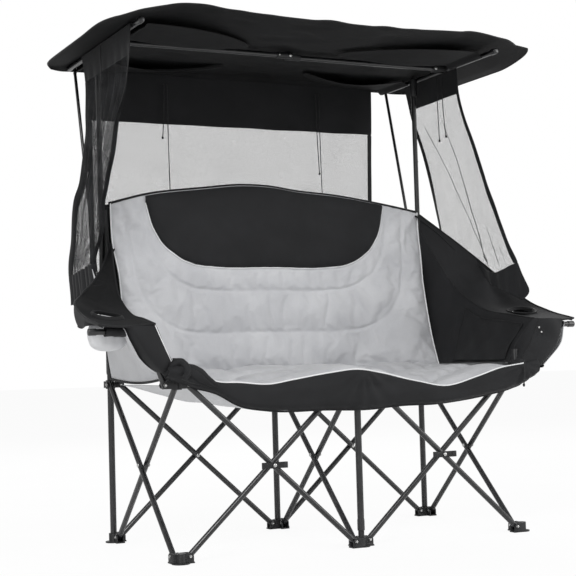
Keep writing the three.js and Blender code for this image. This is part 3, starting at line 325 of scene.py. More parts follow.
TUBE = tube_finish()
MOULDING = moulding_finish()
RIVET = metal_finish("plated_rivet", (0.62, 0.62, 0.61), 0.24)
BLACK, PAINTED_SHADE_BLACK, TAPE, GREY, LINING, PAINTED_LIGHT_GREY, PIPING, CORD = (
    cloth_finish(*row)
    for row in (
        ("black_polyester", (0.0075, 0.0077, 0.0086), (0.0142, 0.0146, 0.0161), 0.0011, 0.74, 0.05, 0.35),
        # darker copy of the black polyester: painted shade for the roof's underside and the left arm shelf
        ("black_cloth_painted_shade", (0.0022, 0.0023, 0.0026), (0.0062, 0.0064, 0.0072), 0.0011, 0.8, 0.0, 0.35),
        ("black_tape", (0.0045, 0.0047, 0.0053), (0.012, 0.0123, 0.0135), 0.0009, 0.66, 0.05, 0.35),
        ("grey_polyester", (0.46, 0.465, 0.485), (0.6, 0.605, 0.62), 0.001, 0.78, 0.25, 0.3),
        ("grey_lining", (0.48, 0.485, 0.5), (0.6, 0.605, 0.62), 0.001, 0.8, 0.2, 0.3),
        # lighter copy of the grey polyester: painted light that lifts the shaded sling and the cup pouches
        ("grey_cloth_painted_light", (0.6, 0.605, 0.62), (0.71, 0.715, 0.73), 0.001, 0.8, 0.2, 0.3),
        ("white_piping", (0.72, 0.73, 0.74), (0.84, 0.845, 0.85), 0.0008, 0.7, 0.2, 0.3),
        ("black_cord", (0.008, 0.0082, 0.009), (0.02, 0.0205, 0.022), 0.0014, 0.7, 0.15, 0.35),
    )
)
NET = net_finish()


# Mesh tools


def link(thing):
    bpy.context.scene.collection.objects.link(thing)
    return thing


def make_object(name, points, faces, material, uv=None):
    mesh = bpy.data.meshes.new(name)
    mesh.from_pydata([tuple(p) for p in points], [], faces)
    mesh.polygons.foreach_set("use_smooth", [True] * len(mesh.polygons))
    if uv is not None:
        layer = mesh.uv_layers.new(name="cloth")
        corner = np.zeros(len(mesh.loops), np.int32)
        mesh.loops.foreach_get("vertex_index", corner)
        layer.data.foreach_set("uv", np.asarray(uv, np.float32)[corner].ravel())
    mesh.update()
    mesh.materials.append(material)
    return link(bpy.data.objects.new(name, mesh))


@contextmanager
def editing(piece):
    """The piece's mesh as a bmesh, written back at the end"""
    work = bmesh.new()
    work.from_mesh(piece.data)
    yield work
    work.to_mesh(piece.data)
    work.free()


def modify(piece, kind, **settings):
    made = piece.modifiers.new(kind.lower(), kind)
    for key, value in settings.items():
        setattr(made, key, value)
    return made


def settle(piece):
    """Replaces the piece's mesh by what its modifiers make of it"""
    graph = bpy.context.evaluated_depsgraph_get()
    made = bpy.data.meshes.new_from_object(piece.evaluated_get(graph))
    piece.modifiers.clear()
    old = piece.data
    piece.data = made
    bpy.data.meshes.remove(old)
    return piece


def refine(piece):
    modify(piece, "SUBSURF", levels=1, render_levels=1)
    return settle(piece)


def outwards(piece):
    """Turns every face of a closed piece outwards"""
    with editing(piece) as work:
        bmesh.ops.recalc_face_normals(work, faces=work.faces)
        if work.calc_volume(signed=True) < 0:
            bmesh.ops.reverse_faces(work, faces=work.faces)
    return piece


def mark_sharp(piece, degrees):
    """Marks the piece's sharp edges, so that only its round faces shade smoothly"""
    with editing(piece) as work:
        for edge in work.edges:
            edge.smooth = len(edge.link_faces) == 2 and edge.calc_face_angle(0) < math.radians(degrees)
    return piece


def grid_of(columns, rows):
    return np.meshgrid(np.linspace(0, 1, columns + 1), np.linspace(0, 1, rows + 1))


def grid_quads(rows, columns):
    index = np.arange(rows * columns).reshape(rows, columns)
    return np.stack([index[:-1, :-1], index[:-1, 1:], index[1:, 1:], index[1:, :-1]], -1)


def tube_quads(rings, sides):
    """Faces between rings of points that close round"""
    made = []
    for low in range(0, (rings - 1) * sides, sides):
        high = low + sides
        for k in range(sides):
            n = (k + 1) % sides
            made.append((low + k, low + n, high + n, high + k))
    return made


def metre_map(points):
    """Cloth map of a grid of points: running lengths along its rows and columns"""
    steps = [np.linalg.norm(np.diff(points, axis=a), axis=-1).mean(axis=1 - a) for a in (1, 0)]
    u, v = np.meshgrid(*(np.concatenate([[0], np.cumsum(s)]) for s in steps))
    return np.stack([u.ravel(), v.ravel()], -1)


def frames_along(points):
    """Unit axes across a path, carried along it without twist"""
    points = [Vector(p) for p in points]
    runs = [(b - a).normalized() for a, b in zip(points[:-1], points[1:])]
    turns = [runs[0], *[(a + b).normalized() for a, b in zip(runs[:-1], runs[1:])], runs[-1]]
    side = turns[0].orthogonal().normalized()
    made = []
    for way in turns:
        side = (side - way * side.dot(way)).normalized()
        made.append((side.copy(), way.cross(side).normalized()))
    return points, made


def cord_mesh(name, points, radius, material, sides=8, flat=1.0):
    """Round or flattened cord along a path, closed at both ends"""
    points, axes = frames_along(points)
    count = len(points)
    ring = [(math.cos(a) * radius, math.sin(a) * radius * flat) for a in np.arange(sides) / sides * math.tau]
    verts = [p + a * x + b * y for p, (a, b) in zip(points, axes) for x, y in ring]
    lengths = np.concatenate([[0], np.cumsum([(b - a).length for a, b in zip(points[:-1], points[1:])])])
    uv = [(k / sides * math.tau * radius, lengths[i]) for i in range(count) for k in range(sides)]
    ends = [tuple(range(sides))[::-1], tuple((count - 1) * sides + k for k in range(sides))]
    return make_object(name, verts, tube_quads(count, sides) + ends, material, uv)


ROUND_ANGLE = 40


def turned(name, start, end, profile, material, sides=28):
    """Closed body of revolution: the profile lists (distance from start, radius), closing on itself"""
    start, end = Vector(start), Vector(end)
    way = (end - start).normalized()
    side = way.orthogonal().normalized()
    other = way.cross(side)
    angles = np.arange(sides) / sides * math.tau
    verts, faces, rings = [], [], []
    for distance, radius in profile:
        centre = start + way * distance
        if radius < 1e-6:
            rings.append([len(verts)] * sides)
            verts.append(centre)
            continue
        rings.append(list(range(len(verts), len(verts) + sides)))
        verts += [centre + (side * math.cos(a) + other * math.sin(a)) * radius for a in angles]
    for low, high in zip(rings, rings[1:] + ([] if profile[0][1] < 1e-6 else rings[:1])):
        for k in range(sides):
            n = (k + 1) % sides
            face = tuple(dict.fromkeys((low[k], low[n], high[n], high[k])))
            if len(face) > 2:
                faces.append(face)
    return mark_sharp(outwards(make_object(name, verts, faces, material)), ROUND_ANGLE)


def join(name, pieces):
    """One piece from several on the same body"""
    first = pieces[0]
    with bpy.context.temp_override(
        active_object=first, object=first, selected_objects=pieces, selected_editable_objects=pieces
    ):
        bpy.ops.object.join()
    first.name = first.data.name = name
    return first


def put(piece, body, slot, *nodes):
    """Rides the piece on its body and hides the solids that it stands for; the slot is not used"""
    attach(piece, body)
    if nodes:
        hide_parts(*nodes)
    return piece


WAVE_COUNT = 7


def waves(x, y, z, length, seed):
    """Soft noise from a few plane waves of about one length"""
    draw = np.random.default_rng(seed)
    total = 0
    for _ in range(WAVE_COUNT):
        way = draw.normal(size=3)
        way *= math.tau / length / np.linalg.norm(way) * draw.uniform(0.7, 1.4)
        total = total + np.sin(way[0] * x + way[1] * y + way[2] * z + draw.uniform(0, math.tau))
    return total / math.sqrt(WAVE_COUNT)


def soft_step(low, high, value):
    share = np.clip((value - low) / (high - low), 0, 1)
    return share * share * (3 - 2 * share)


def mix(a, b, share):
    return a + (b - a) * share


def stack(x, y, z):
    """Grid of frame points from places measured from the front row"""
    x, y, z = np.broadcast_arrays(x, y, z)
    return np.stack([x, y + FRONT_ROW, z], -1)


def spline(points, count):
    """Smooth path of count points through the given ones, in single precision as meshes keep it"""
    points = np.array([tuple(p) for p in points], float)
    ends = np.concatenate([[2 * points[0] - points[1]], points, [2 * points[-1] - points[-2]]])
    made = []
    for share in np.linspace(0, len(points) - 1, count):
        i = min(int(share), len(points) - 2)
        t = share - i
        a, b, c, d = ends[i : i + 4]
        made.append(
            0.5
            * (2 * b + (c - a) * t + (2 * a - 5 * b + 4 * c - d) * t * t + (3 * b - a - 3 * c + d) * t**3)
        )
    return np.array(made, np.float32).astype(float)


# Tubes and mouldings
END_BAND = 0.0012
LIP = 0.0004
RECESS = 0.022

# Lower leg, upper leg and lane of each crossed tube, by column and row
CROSS_TUBES = {
    "front_left_rear_tube": ((-1, 0), (0, 0), 1),
    "front_left_front_tube": ((0, 0), (-1, 0), -1),
    "front_right_rear_tube": ((0, 0), (1, 0), 1),
    "front_right_front_tube": ((1, 0), (0, 0), -1),
    "rear_left_front_tube": ((0, 1), (-1, 1), -1),
    "rear_left_rear_tube": ((-1, 1), (0, 1), 1),
    "rear_right_front_tube": ((1, 1), (0, 1), -1),
    "rear_right_rear_tube": ((0, 1), (1, 1), 1),
    "left_side_inner_tube": ((-1, 1), (-1, 0), 1),
    "left_side_outer_tube": ((-1, 0), (-1, 1), -1),
    "middle_right_tube": ((0, 1), (0, 0), 1),
    "middle_left_tube": ((0, 0), (0, 1), -1),
    "right_side_outer_tube": ((1, 1), (1, 0), 1),
    "right_side_inner_tube": ((1, 0), (1, 1), -1),
}
LEGS = {
    (column, row): "%s_%s" % (depth, place)
    for row, depth in enumerate(("front", "rear"))
    for column, place in ((-1, "left"), (0, "middle"), (1, "right"))
}


def ends_of(node):
    """Middles of the two end rings of a straight tube's solid"""
    points = np.array([v.co for v in NODES[node].data.vertices], float)
    centre = points.mean(0)
    way = np.linalg.svd(points - centre, full_matrices=False)[2][0]
    reach = (points - centre) @ way
    low = points[reach < reach.min() + END_BAND].mean(0)
    high = points[reach > reach.max() - END_BAND].mean(0)
    return Vector(low), Vector(high)


def tube_profile(length, radius, wall):
    inner = radius - wall
    return [
        (RECESS, 0),
        (RECESS, inner),
        (LIP, inner),
        (0, inner + LIP),
        (0, radius - LIP),
        (LIP, radius),
        (length - LIP, radius),
        (length, radius - LIP),
        (length, inner + LIP),
        (length - LIP, inner),
        (length - RECESS, inner),
        (length - RECESS, 0),
    ]


def round_piece(node, low, high, profile):
    """Turned piece in place of a tube's solid"""
    put(turned(node + "_round", low, high, profile, TUBE), BODY_OF[node], "tube", node)


def round_tube(node, radius=TUBE_RADIUS, wall=TUBE_WALL):
    low, high = ends_of(node)
    round_piece(node, low, high, tube_profile((high - low).length, radius, wall))


def tube_places(foot, hub, lane):
    """Lower and upper pivot of a crossed tube, and the way across it"""
    foot, hub = np.array(foot, float), np.array(hub, float)
    run = hub - foot
    shift = np.array((0, lane * LANE)) if run[0] else np.array((lane * LANE, 0))
    low = foot * BAY + run * PIVOT_OFFSET + shift
    high = hub * BAY - run * PIVOT_OFFSET + shift
    across = Vector((0, 1, 0)) if run[0] else Vector((1, 0, 0))
    return at(*low, FOOT_PIVOT), at(*high, HUB_PIVOT), across


RIVET_RADIUS = 0.0058
RIVET_HEAD = 0.0031
PLATE_FACE = 0.0142
LANE_FACE = 0.007
CROSSING_FACE = 0.0084
ARM_REACH = 0.036
ARM_RIVET_INSET = 0.006


def rivet_places():
    """Outer face of every rivet head that is scattered, as (body, place, way out)"""
    found = []
    for name, (foot, hub, lane) in CROSS_TUBES.items():
        low, high, across = tube_places(foot, hub, lane)
        for place, body in ((low, LEGS[foot] + "_foot"), (high, LEGS[hub] + "_hub")):
            for way in (-1, 1):
                found.append((BODY_OF[body], place + across * way * FORK_FACE, across * way))
        if lane < 0:
            middle = (low + high) / 2
            near = PLATE_FACE if foot[1] == hub[1] == 0 else LANE_FACE
            found.append((BODY_OF[name], middle - across * near, -across))
            found.append((BODY_OF[name], middle + across * (2 * LANE + CROSSING_FACE), across))
    for label, side in SIDES.items():
        arm = at(side * (BAY + ARM_REACH), 0, HUB_PIVOT)
        for way in (Vector((0, -1, 0)), Vector((0, 1, 0))):
            found.append((BODY_OF["front_%s_hub" % label], arm + way * FORK_FACE, way))
        low, high = ends_of("arm_support_" + label)
        top = high + (low - high).normalized() * ARM_RIVET_INSET
        found.append(("arm_support_" + label, top - Vector((0, LANE_FACE, 0)), Vector((0, -1, 0))))
        outer = rail_pivot(side) + Vector((side * CROSSING_FACE, 0, 0))
        found.append((BODY_OF["rail_housing_" + label], outer, Vector((side, 0, 0))))
    return found


def set_up_scatter():
    """Geometry Nodes tree that puts a domed head on every point, facing its own way"""
    tree = bpy.data.node_groups.new("rivet_heads", "GeometryNodeTree")
    face = tree.interface
    face.new_socket("Geometry", in_out="INPUT", socket_type="NodeSocketGeometry")
    for name, value in (("Radius", RIVET_RADIUS), ("Height", RIVET_HEAD)):
        face.new_socket(name, in_out="INPUT", socket_type="NodeSocketFloat").default_value = value
    face.new_socket("Finish", in_out="INPUT", socket_type="NodeSocketMaterial")
    face.new_socket("Geometry", in_out="OUTPUT", socket_type="NodeSocketGeometry")
    add = tree.nodes.new
    inlet, outlet = add("NodeGroupInput"), add("NodeGroupOutput")
    dome = add("GeometryNodeMeshUVSphere")
    for name, value in (("Segments", 16), ("Rings", 10), ("Radius", 1.0)):
        dome.inputs[name].default_value = value
    size = add("ShaderNodeCombineXYZ")
    for axis, name in zip("XYZ", ("Radius", "Radius", "Height")):
        tree.links.new(inlet.outputs[name], size.inputs[axis])
    spread = add("GeometryNodeInstanceOnPoints")
    normal = add("GeometryNodeInputNamedAttribute")
    normal.data_type = "FLOAT_VECTOR"
    normal.inputs["Name"].default_value = "way"
    turn = add("FunctionNodeAlignRotationToVector")
    turn.axis = "Z"
    real = add("GeometryNodeRealizeInstances")
    paint = add("GeometryNodeSetMaterial")
    smooth = add("GeometryNodeSetShadeSmooth")
    for a, b in (
        (inlet.outputs["Geometry"], spread.inputs["Points"]),
        (dome.outputs["Mesh"], spread.inputs["Instance"]),
        (normal.outputs["Attribute"], turn.inputs["Vector"]),
        (turn.outputs[0], spread.inputs["Rotation"]),
        (size.outputs[0], spread.inputs["Scale"]),
        (spread.outputs[0], real.inputs[0]),
        (real.outputs[0], smooth.inputs[0]),
        (smooth.outputs[0], paint.inputs["Geometry"]),
        (inlet.outputs["Finish"], paint.inputs["Material"]),
        (paint.outputs[0], outlet.inputs["Geometry"]),
    ):
        tree.links.new(a, b)
    return tree


def make_rivets():
    """Domed heads on every body, each body's made one plain mesh"""
    tree = set_up_scatter()
    socket = {s.name: s.identifier for s in tree.interface.items_tree if s.in_out == "INPUT"}
    by_body = {}
    for body, place, way in rivet_places():
        by_body.setdefault(body, []).append((place, way))
    for body, rows in by_body.items():
        places, ways = zip(*rows)
        piece = make_object("rivets_" + body, places, [], RIVET)
        attribute = piece.data.attributes.new("way", "FLOAT_VECTOR", "POINT")
        attribute.data.foreach_set("vector", np.array([tuple(w) for w in ways], np.float32).ravel())
        nodes = modify(piece, "NODES", node_group=tree)
        for name, value in (("Radius", RIVET_RADIUS), ("Height", RIVET_HEAD), ("Finish", RIVET)):
            nodes[socket[name]] = value
        put(settle(piece), body, "tube")


def upright_place(side, height):
    x = side * (BAY + UPRIGHT_REACH * math.cos(UPRIGHT_ANGLE))
    return at(x, BAY + UPRIGHT_REACH * math.sin(UPRIGHT_ANGLE), height)


def rail_pivot(side):
    return upright_place(side, RAIL_HEIGHT) + Vector((side * 0.0245, 0.016, 0))


MOULDED_ANGLE = 35


def rounded(piece, width, segments, angle):
    """Rounds a moulding's edges over and keeps its flat faces flat"""
    limit = math.radians(angle)
    modify(piece, "BEVEL", width=width, segments=segments, limit_method="ANGLE", angle_limit=limit)
    settle(piece)
    piece.data.polygons.foreach_set("use_smooth", [True] * len(piece.data.polygons))
    return mark_sharp(piece, MOULDED_ANGLE)


def moulded(node, width=0.0007, segments=2):
    """Copy of a moulding's solid with its edges rounded over"""
    piece = link(bpy.data.objects.new(node + "_moulding", NODES[node].data.copy()))
    with editing(piece) as work:
        bmesh.ops.remove_doubles(work, verts=work.verts, dist=1e-5)
        bmesh.ops.dissolve_limit(work, angle_limit=math.radians(1.0), verts=work.verts, edges=work.edges)
    piece.data.materials.clear()
    piece.data.materials.append(MOULDING)
    put(rounded(piece, width, segments, 32), BODY_OF[node], "moulding", node)


SLEEVE = 0.029
SWAGE = 0.0105
ARM_CAP = 0.022
RAIL_CAP = 0.024
RAIL_FRONT = 0.48
RAIL_REAR = 0.2
STRUT_PLACE = 0.195
STRUT_INSET = 0.045
BRACE_PIN = (0.0205, 0.19)
EAR_HALF = 0.01
BRACE_RADIUS = 0.005
BRACE_WALL = 0.001


def make_frame_pieces():
    for leg in LEGS.values():
        moulded(leg + "_foot")
        moulded(leg + "_hub")
    for label in SIDES:
        moulded("front_%s_spacer_plate" % label, 0.001, 3)
        moulded("canopy_socket_" + label)
        moulded("rail_housing_" + label)
    for name in CROSS_TUBES:
        round_tube(name)
    for name in ("rear_left_post", "rear_middle_post", "rear_right_post"):
        round_tube(name, POST_RADIUS, POST_WALL)
    make_front_post()
    for label, side in SIDES.items():
        round_tube("arm_support_" + label)
        make_arm_bar("arm_bar_" + label)
        make_upright(label, side)
        make_rail("canopy_rail_" + label, side)
        make_strut("canopy_strut_" + label, side)
        round_tube("canopy_brace_" + label, BRACE_RADIUS, BRACE_WALL)


def make_front_post():
    """Short post with its swaged sleeve below and a cap on top"""
    low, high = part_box("front_middle_post")
    middle = (low + high) / 2
    length = high.z - low.z
    profile = [
        (0.0, 0.0082),
        (0.0, SWAGE - LIP),
        (LIP, SWAGE),
        (SLEEVE, SWAGE),
        (SLEEVE + 0.003, POST_RADIUS + 0.0003),
        (SLEEVE + 0.005, POST_RADIUS),
        (length - 0.004, POST_RADIUS),
        (length - 0.0035, POST_RADIUS + 0.0006),
        (length - 0.001, POST_RADIUS + 0.0006),
        (length, POST_RADIUS - 0.0008),
        (length, 0),
        (length - 0.003, 0),
        (length - 0.003, 0.008),
    ]
    start, end = (Vector((middle.x, middle.y, z)) for z in (low.z, high.z))
    round_piece("front_middle_post", start, end, profile)


def make_arm_bar(node):
    inner, outer = sorted(ends_of(node), key=lambda end: abs(end.x))
    length = (outer - inner).length
    profile = [
        (RECESS, 0),
        (RECESS, TUBE_RADIUS - TUBE_WALL),
        (LIP, TUBE_RADIUS - TUBE_WALL),
        (0, TUBE_RADIUS - LIP),
        (LIP, TUBE_RADIUS),
        (length - ARM_CAP, TUBE_RADIUS),
        (length - ARM_CAP, 0.0092),
        (length - ARM_CAP + LIP, 0.0096),
        (length - 0.0022, 0.0096),
        (length - 0.0008, 0.009),
        (length, 0.0072),
        (length, 0),
    ]
    round_piece(node, inner, outer, profile)


def make_upright(label, side):
    node = "canopy_upright_" + label
    low, high = (upright_place(side, corner.z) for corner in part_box(node))
    round_piece(node, low, high, tube_profile(high.z - low.z, TUBE_RADIUS, TUBE_WALL))
    centre = upright_place(side, BUTTON_HEIGHT)
    start, end = (centre + Vector((side * reach, 0, 0)) for reach in (0.0066, 0.0104))
    profile = [(0, 0), (0, 0.003), (0.0026, 0.003), (0.0034, 0.0022), (0.0038, 0.001), (0.0039, 0)]
    put(turned("snap_button_" + label, start, end, profile, RIVET, 20), BODY_OF[node], "tube")


def make_rail(node, side):
    """Rail with its end cap, strut fork and brace pin"""
    pivot = rail_pivot(side)
    length = RAIL_FRONT + RAIL_REAR
    inner = TUBE_RADIUS - TUBE_WALL
    profile = [
        (0, 0),
        (0, 0.0078),
        (0.0008, 0.009),
        (0.0022, 0.0095),
        (RAIL_CAP - LIP, 0.0095),
        (RAIL_CAP, 0.009),
        (RAIL_CAP, TUBE_RADIUS),
        (length - LIP, TUBE_RADIUS),
        (length, TUBE_RADIUS - LIP),
        (length, inner),
        (length - RECESS, inner),
        (length - RECESS, 0),
    ]
    front, rear = (pivot + Vector((0, reach, 0)) for reach in (-RAIL_FRONT, RAIL_REAR))
    parts = [turned("rail", front, rear, profile, TUBE)]
    lane = pivot.y + side * LANE - STRUT_PLACE
    tip = pivot.x - side * STRUT_INSET
    for start in (lane - FORK_FACE, lane + CROSSING_FACE):
        parts.append(ear("ear", pivot.x, tip, start, start + 0.004, pivot.z))
    for way in (-1, 1):
        head = Vector((tip, lane + way * FORK_FACE, pivot.z))
        parts.append(dome(head, Vector((0, way, 0)), RIVET_RADIUS, 0.003))
    inward = Vector((-side, 0, 0))
    root = pivot + Vector((0, BRACE_PIN[1], 0))
    pin = root + inward * BRACE_PIN[0]
    parts.append(dome(pin, inward, 0.005, 0.0025))
    stem = [(0, 0), (0, 0.002), (0.0145, 0.002), (0.0145, 0)]
    parts.append(turned("pin", root + inward * 0.006, pin, stem, RIVET, 12))
    put(join(node + "_round", parts), node, "tube", node)


def dome(place, way, radius, height):
    arc = [(height * math.sin(a), radius * math.cos(a)) for a in np.linspace(0, math.pi / 2, 6)]
    arc[-1] = (height, 0)
    return turned("dome", place, place + way, [(0, 0), *arc], RIVET, 20)


def ear(name, root, tip, front, back, height):
    """Flat fork ear with a round end, between two places along X"""
    out = EAR_HALF if tip > root else -EAR_HALF
    bend = np.linspace(-math.pi / 2, math.pi / 2, 12)
    outline = [(root, -EAR_HALF), (tip, -EAR_HALF)]
    outline += [(tip + out * math.cos(a), EAR_HALF * math.sin(a)) for a in bend]
    outline += [(root, EAR_HALF)]
    count = len(outline)
    verts = [(x, y, height + z) for y in (front, back) for x, z in outline]
    faces = [tuple(range(count)), tuple(range(2 * count - 1, count - 1, -1))]
    faces += [(i, (i + 1) % count, count + (i + 1) % count, count + i) for i in range(count)]
    return rounded(outwards(make_object(name, verts, faces, MOULDING)), 0.0006, 2, 30)


def make_strut(node, side):
    """Half of the folding cross strut, with its moulded knuckle"""
    pivot = rail_pivot(side) + Vector((-side * STRUT_INSET, side * LANE - STRUT_PLACE, 0))
    end = Vector((0, pivot.y, pivot.z))
    profile = tube_profile(abs(pivot.x) + 0.009, TUBE_RADIUS, TUBE_WALL)
    tube = turned("tube", pivot + Vector((side * 0.009, 0, 0)), end, profile, TUBE)
    profile = [(0, 0), (0, 0.0092), (0.001, 0.0104), (0.0533, 0.0104), (0.0548, 0.0094), (0.055, 0)]
    start, stop = (end + Vector((side * reach, 0, 0)) for reach in (0.046, -0.009))
    knuckle = trimmed(turned("knuckle", start, stop, profile, MOULDING, 24), pivot.y - side * 0.0086, -side)
    heads = [
        dome(end + Vector((shift, side * TUBE_RADIUS, 0)), Vector((0, side, 0)), radius, 0.004)
        for shift, radius in ((0, 0.0056), (side * 0.038, 0.0034))
    ]
    put(join(node + "_round", [tube, knuckle] + heads), node, "tube", node)


def trimmed(piece, y, way):
    """Cuts a closed piece flat at a plane across Y and closes it again"""
    with editing(piece) as work:
        whole = [*work.verts, *work.edges, *work.faces]
        plane = dict(plane_co=(0, y, 0), plane_no=(0, way, 0))
        cut = bmesh.ops.bisect_plane(work, geom=whole, clear_outer=True, **plane)
        edges = [e for e in cut["geom_cut"] if isinstance(e, bmesh.types.BMEdge)]
        bmesh.ops.contextual_create(work, geom=edges)
    return piece


# Soft goods


def course(table, value):
    """Smooth curve through a table of (place, value) rows"""
    places, values = np.array(table, float).T
    slopes = np.gradient(values, places)
    value = np.clip(value, places[0], places[-1])
    i = np.clip(np.searchsorted(places, value) - 1, 0, len(places) - 2)
    step = places[i + 1] - places[i]
    t = (value - places[i]) / step
    rest = 1 - t
    return (
        rest * rest * (1 + 2 * t) * values[i]
        + t * t * (3 - 2 * t) * values[i + 1]
        + t * rest * step * (rest * slopes[i] - t * slopes[i + 1])
    )


def slot_of(material):
    if material == NET:
        return "mesh_cloth"
    return "grey_cloth" if material in (GREY, LINING, PAINTED_LIGHT_GREY, PIPING) else "black_cloth"


def dress(piece, body, *nodes):
    """Puts a cloth piece on its body"""
    return put(piece, body, slot_of(piece.data.materials[0]), *nodes)


def squash(pieces, anchor):
    for piece in pieces:
        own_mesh(piece)


def close_with_frame(pieces):
    """Gives each piece of canopy cloth a mesh of its own"""
    squash(pieces, rail_pivot(-1))


CLOTH_WALL = 0.0015


def sewn(name, points, material, thickness, held, rests_on, body, *nodes, keep=slice(None)):
    """Sheet of cloth through a grid of points; keep leaves out the faces of a hole"""
    faces = grid_quads(*points.shape[:2])[keep].reshape(-1, 4).tolist()
    piece = make_object(name, points.reshape(-1, 3), faces, material, metre_map(points))
    modify(piece, "SUBSURF", levels=1, render_levels=1)
    if thickness:
        modify(piece, "SOLIDIFY", thickness=thickness, offset=0, use_even_offset=False)
    settle(piece)
    width, length = (float(np.linalg.norm(np.diff(points, axis=a), axis=-1).sum(a).max()) for a in (1, 0))
    across = np.cross(points[1:, 1:] - points[:-1, :-1], points[1:, :-1] - points[:-1, 1:])
    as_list(rests_on)
    return dress(piece, body, *nodes)


def make_pad(name, front, back, held, cap, body, node):
    """Closed pad between two grids of points, which air lifts where it isn't held"""
    rows, columns = front.shape[:2]
    count = rows * columns
    index = np.arange(count).reshape(rows, columns)
    quads = grid_quads(rows, columns).reshape(-1, 4)
    rim = [*index[0], *index[1:, -1], *index[-1, -2::-1], *index[-2:0:-1, 0]]
    sides = [(b, a, a + count, b + count) for a, b in zip(rim, rim[1:] + rim[:1])]
    faces = quads.tolist() + (quads[:, ::-1] + count).tolist() + [tuple(int(i) for i in s) for s in sides]
    points = np.concatenate([front.reshape(-1, 3), back.reshape(-1, 3)])
    pad = outwards(make_object(name, points, faces, GREY, np.tile(metre_map(front), (2, 1))))
    held[[0, -1]] = True
    held[:, [0, -1]] = True
    swell(pad, np.concatenate([held.ravel(), np.ones(count, bool)]), cap)
    dress(refine(pad), body, node)
    return pad


SIM_FRAMES = 16
CLOTH_SETTINGS = {
    "quality": 4,
    "mass": 0.25,
    "air_damping": 3,
    "tension_stiffness": 12,
    "compression_stiffness": 12,
    "shear_stiffness": 6,
    "bending_stiffness": 0.6,
    "vertex_group_mass": "held",
    "use_pressure": True,
    "uniform_pressure_force": 3.0,
    "shrink_min": -0.035,
}


def swell(piece, held, cap):
    """Cloth simulation of a pad: air lifts it where it isn't held, by no more than the cap"""
    start = np.array([v.co for v in piece.data.vertices])
    group = piece.vertex_groups.new(name=CLOTH_SETTINGS["vertex_group_mass"])
    group.add([int(i) for i in np.flatnonzero(held)], 1.0, "REPLACE")
    cloth = modify(piece, "CLOTH")
    for key, value in CLOTH_SETTINGS.items():
        setattr(cloth.settings, key, value)
    cloth.settings.effector_weights.gravity = 0
    cloth.collision_settings.use_collision = False
    cloth.point_cache.frame_start = 1
    cloth.point_cache.frame_end = SIM_FRAMES
    scene = bpy.context.scene
    for number in range(1, SIM_FRAMES + 1):
        scene.frame_set(number)
    made = piece.evaluated_get(bpy.context.evaluated_depsgraph_get())
    end = np.array([v.co for v in made.to_mesh().vertices])
    made.to_mesh_clear()
    piece.modifiers.clear()
    piece.vertex_groups.clear()
    scene.frame_set(1)
    move = end - start
    reach = np.linalg.norm(move, axis=1)
    move *= (np.minimum(reach, cap) / np.maximum(reach, 1e-9))[:, None]
    piece.data.vertices.foreach_set("co", (start + move).astype(np.float32).ravel())
    piece.data.update()


# Backrest
BACK_BODY = "rear_middle_foot"
BACK_HALF = 0.545
BACK_LOW = 0.504

BACK_TOP = (
    (-0.547, 1.026), (-0.437, 1.055), (-0.231, 1.083), (-0.104, 1.096), (-0.006, 1.094), (0.087, 1.082),
    (0.228, 1.071), (0.402, 1.047), (0.547, 1.022),
)
BACK_LEAN = ((0.5, 0.484), (0.6, 0.501), (0.75, 0.516), (0.9, 0.524), (1.1, 0.533))
BACK_FORWARD = ((0.5, 0.078), (0.568, 0.062), (0.735, 0.034), (0.817, 0.022), (0.92, 0.0), (1.1, 0.0))
BACK_PUFF = 0.012
BACK_LOW_HALF = 0.534
HEADREST_CENTRE = -0.014
HEADREST_HALF = 0.42
SEAM_HALF = 0.0055
SEWN_BASES = (0.831, 0.757, 0.625)
SEWN_SHIFTS = (0.0, 0.006, 0.055)
SEWN_STEEP = 9
SEWN_RISE = (
    (0.0, 0.0), (0.2, 0.001), (0.27, 0.01), (0.33, 0.038), (0.375, 0.08), (0.405, 0.14), (0.42, 0.2),
)


def back_top(x):
    return course(BACK_TOP, x)


def back_half(z):
    return mix(BACK_LOW_HALF, BACK_HALF, soft_step(0.78, 0.92, z))


def back_lean(x, z):
    """Depth of the back's middle: it leans, and its sides come forward low down"""
    return course(BACK_LEAN, z) - course(BACK_FORWARD, z) * soft_step(0.26, 0.54, np.abs(x))


def sewn_line(x, number):
    """Height of a sewn line across the back: 0 is the headrest's lower edge"""
    reach = np.abs(x - HEADREST_CENTRE) - SEWN_SHIFTS[number]
    past = np.maximum(reach - SEWN_RISE[-1][0], 0)
    return SEWN_BASES[number] + course(SEWN_RISE, np.maximum(reach, 0)) + SEWN_STEEP * past


def from_sewn_line(x, z):
    """Distance to the nearest sewn line of the back"""
    step = 0.004
    found = []
    for number in range(len(SEWN_BASES)):
        slope = (sewn_line(x + step, number) - sewn_line(x - step, number)) / (2 * step)
        found.append(np.abs(z - sewn_line(x, number)) / np.sqrt(1 + slope**2))
    return np.minimum.reduce(found)


def spokes(x, z, centre, count, reach, seed):
    """Creases that run out from a place"""
    across, along = x - centre[0], z - centre[1]
    span = np.hypot(across, along)
    turn = np.arctan2(along, across) * count + 1.4 * waves(x, z, 0, 0.3, seed)
    return np.sin(turn) * np.exp(-span / reach) * soft_step(0.0, 0.05, span)


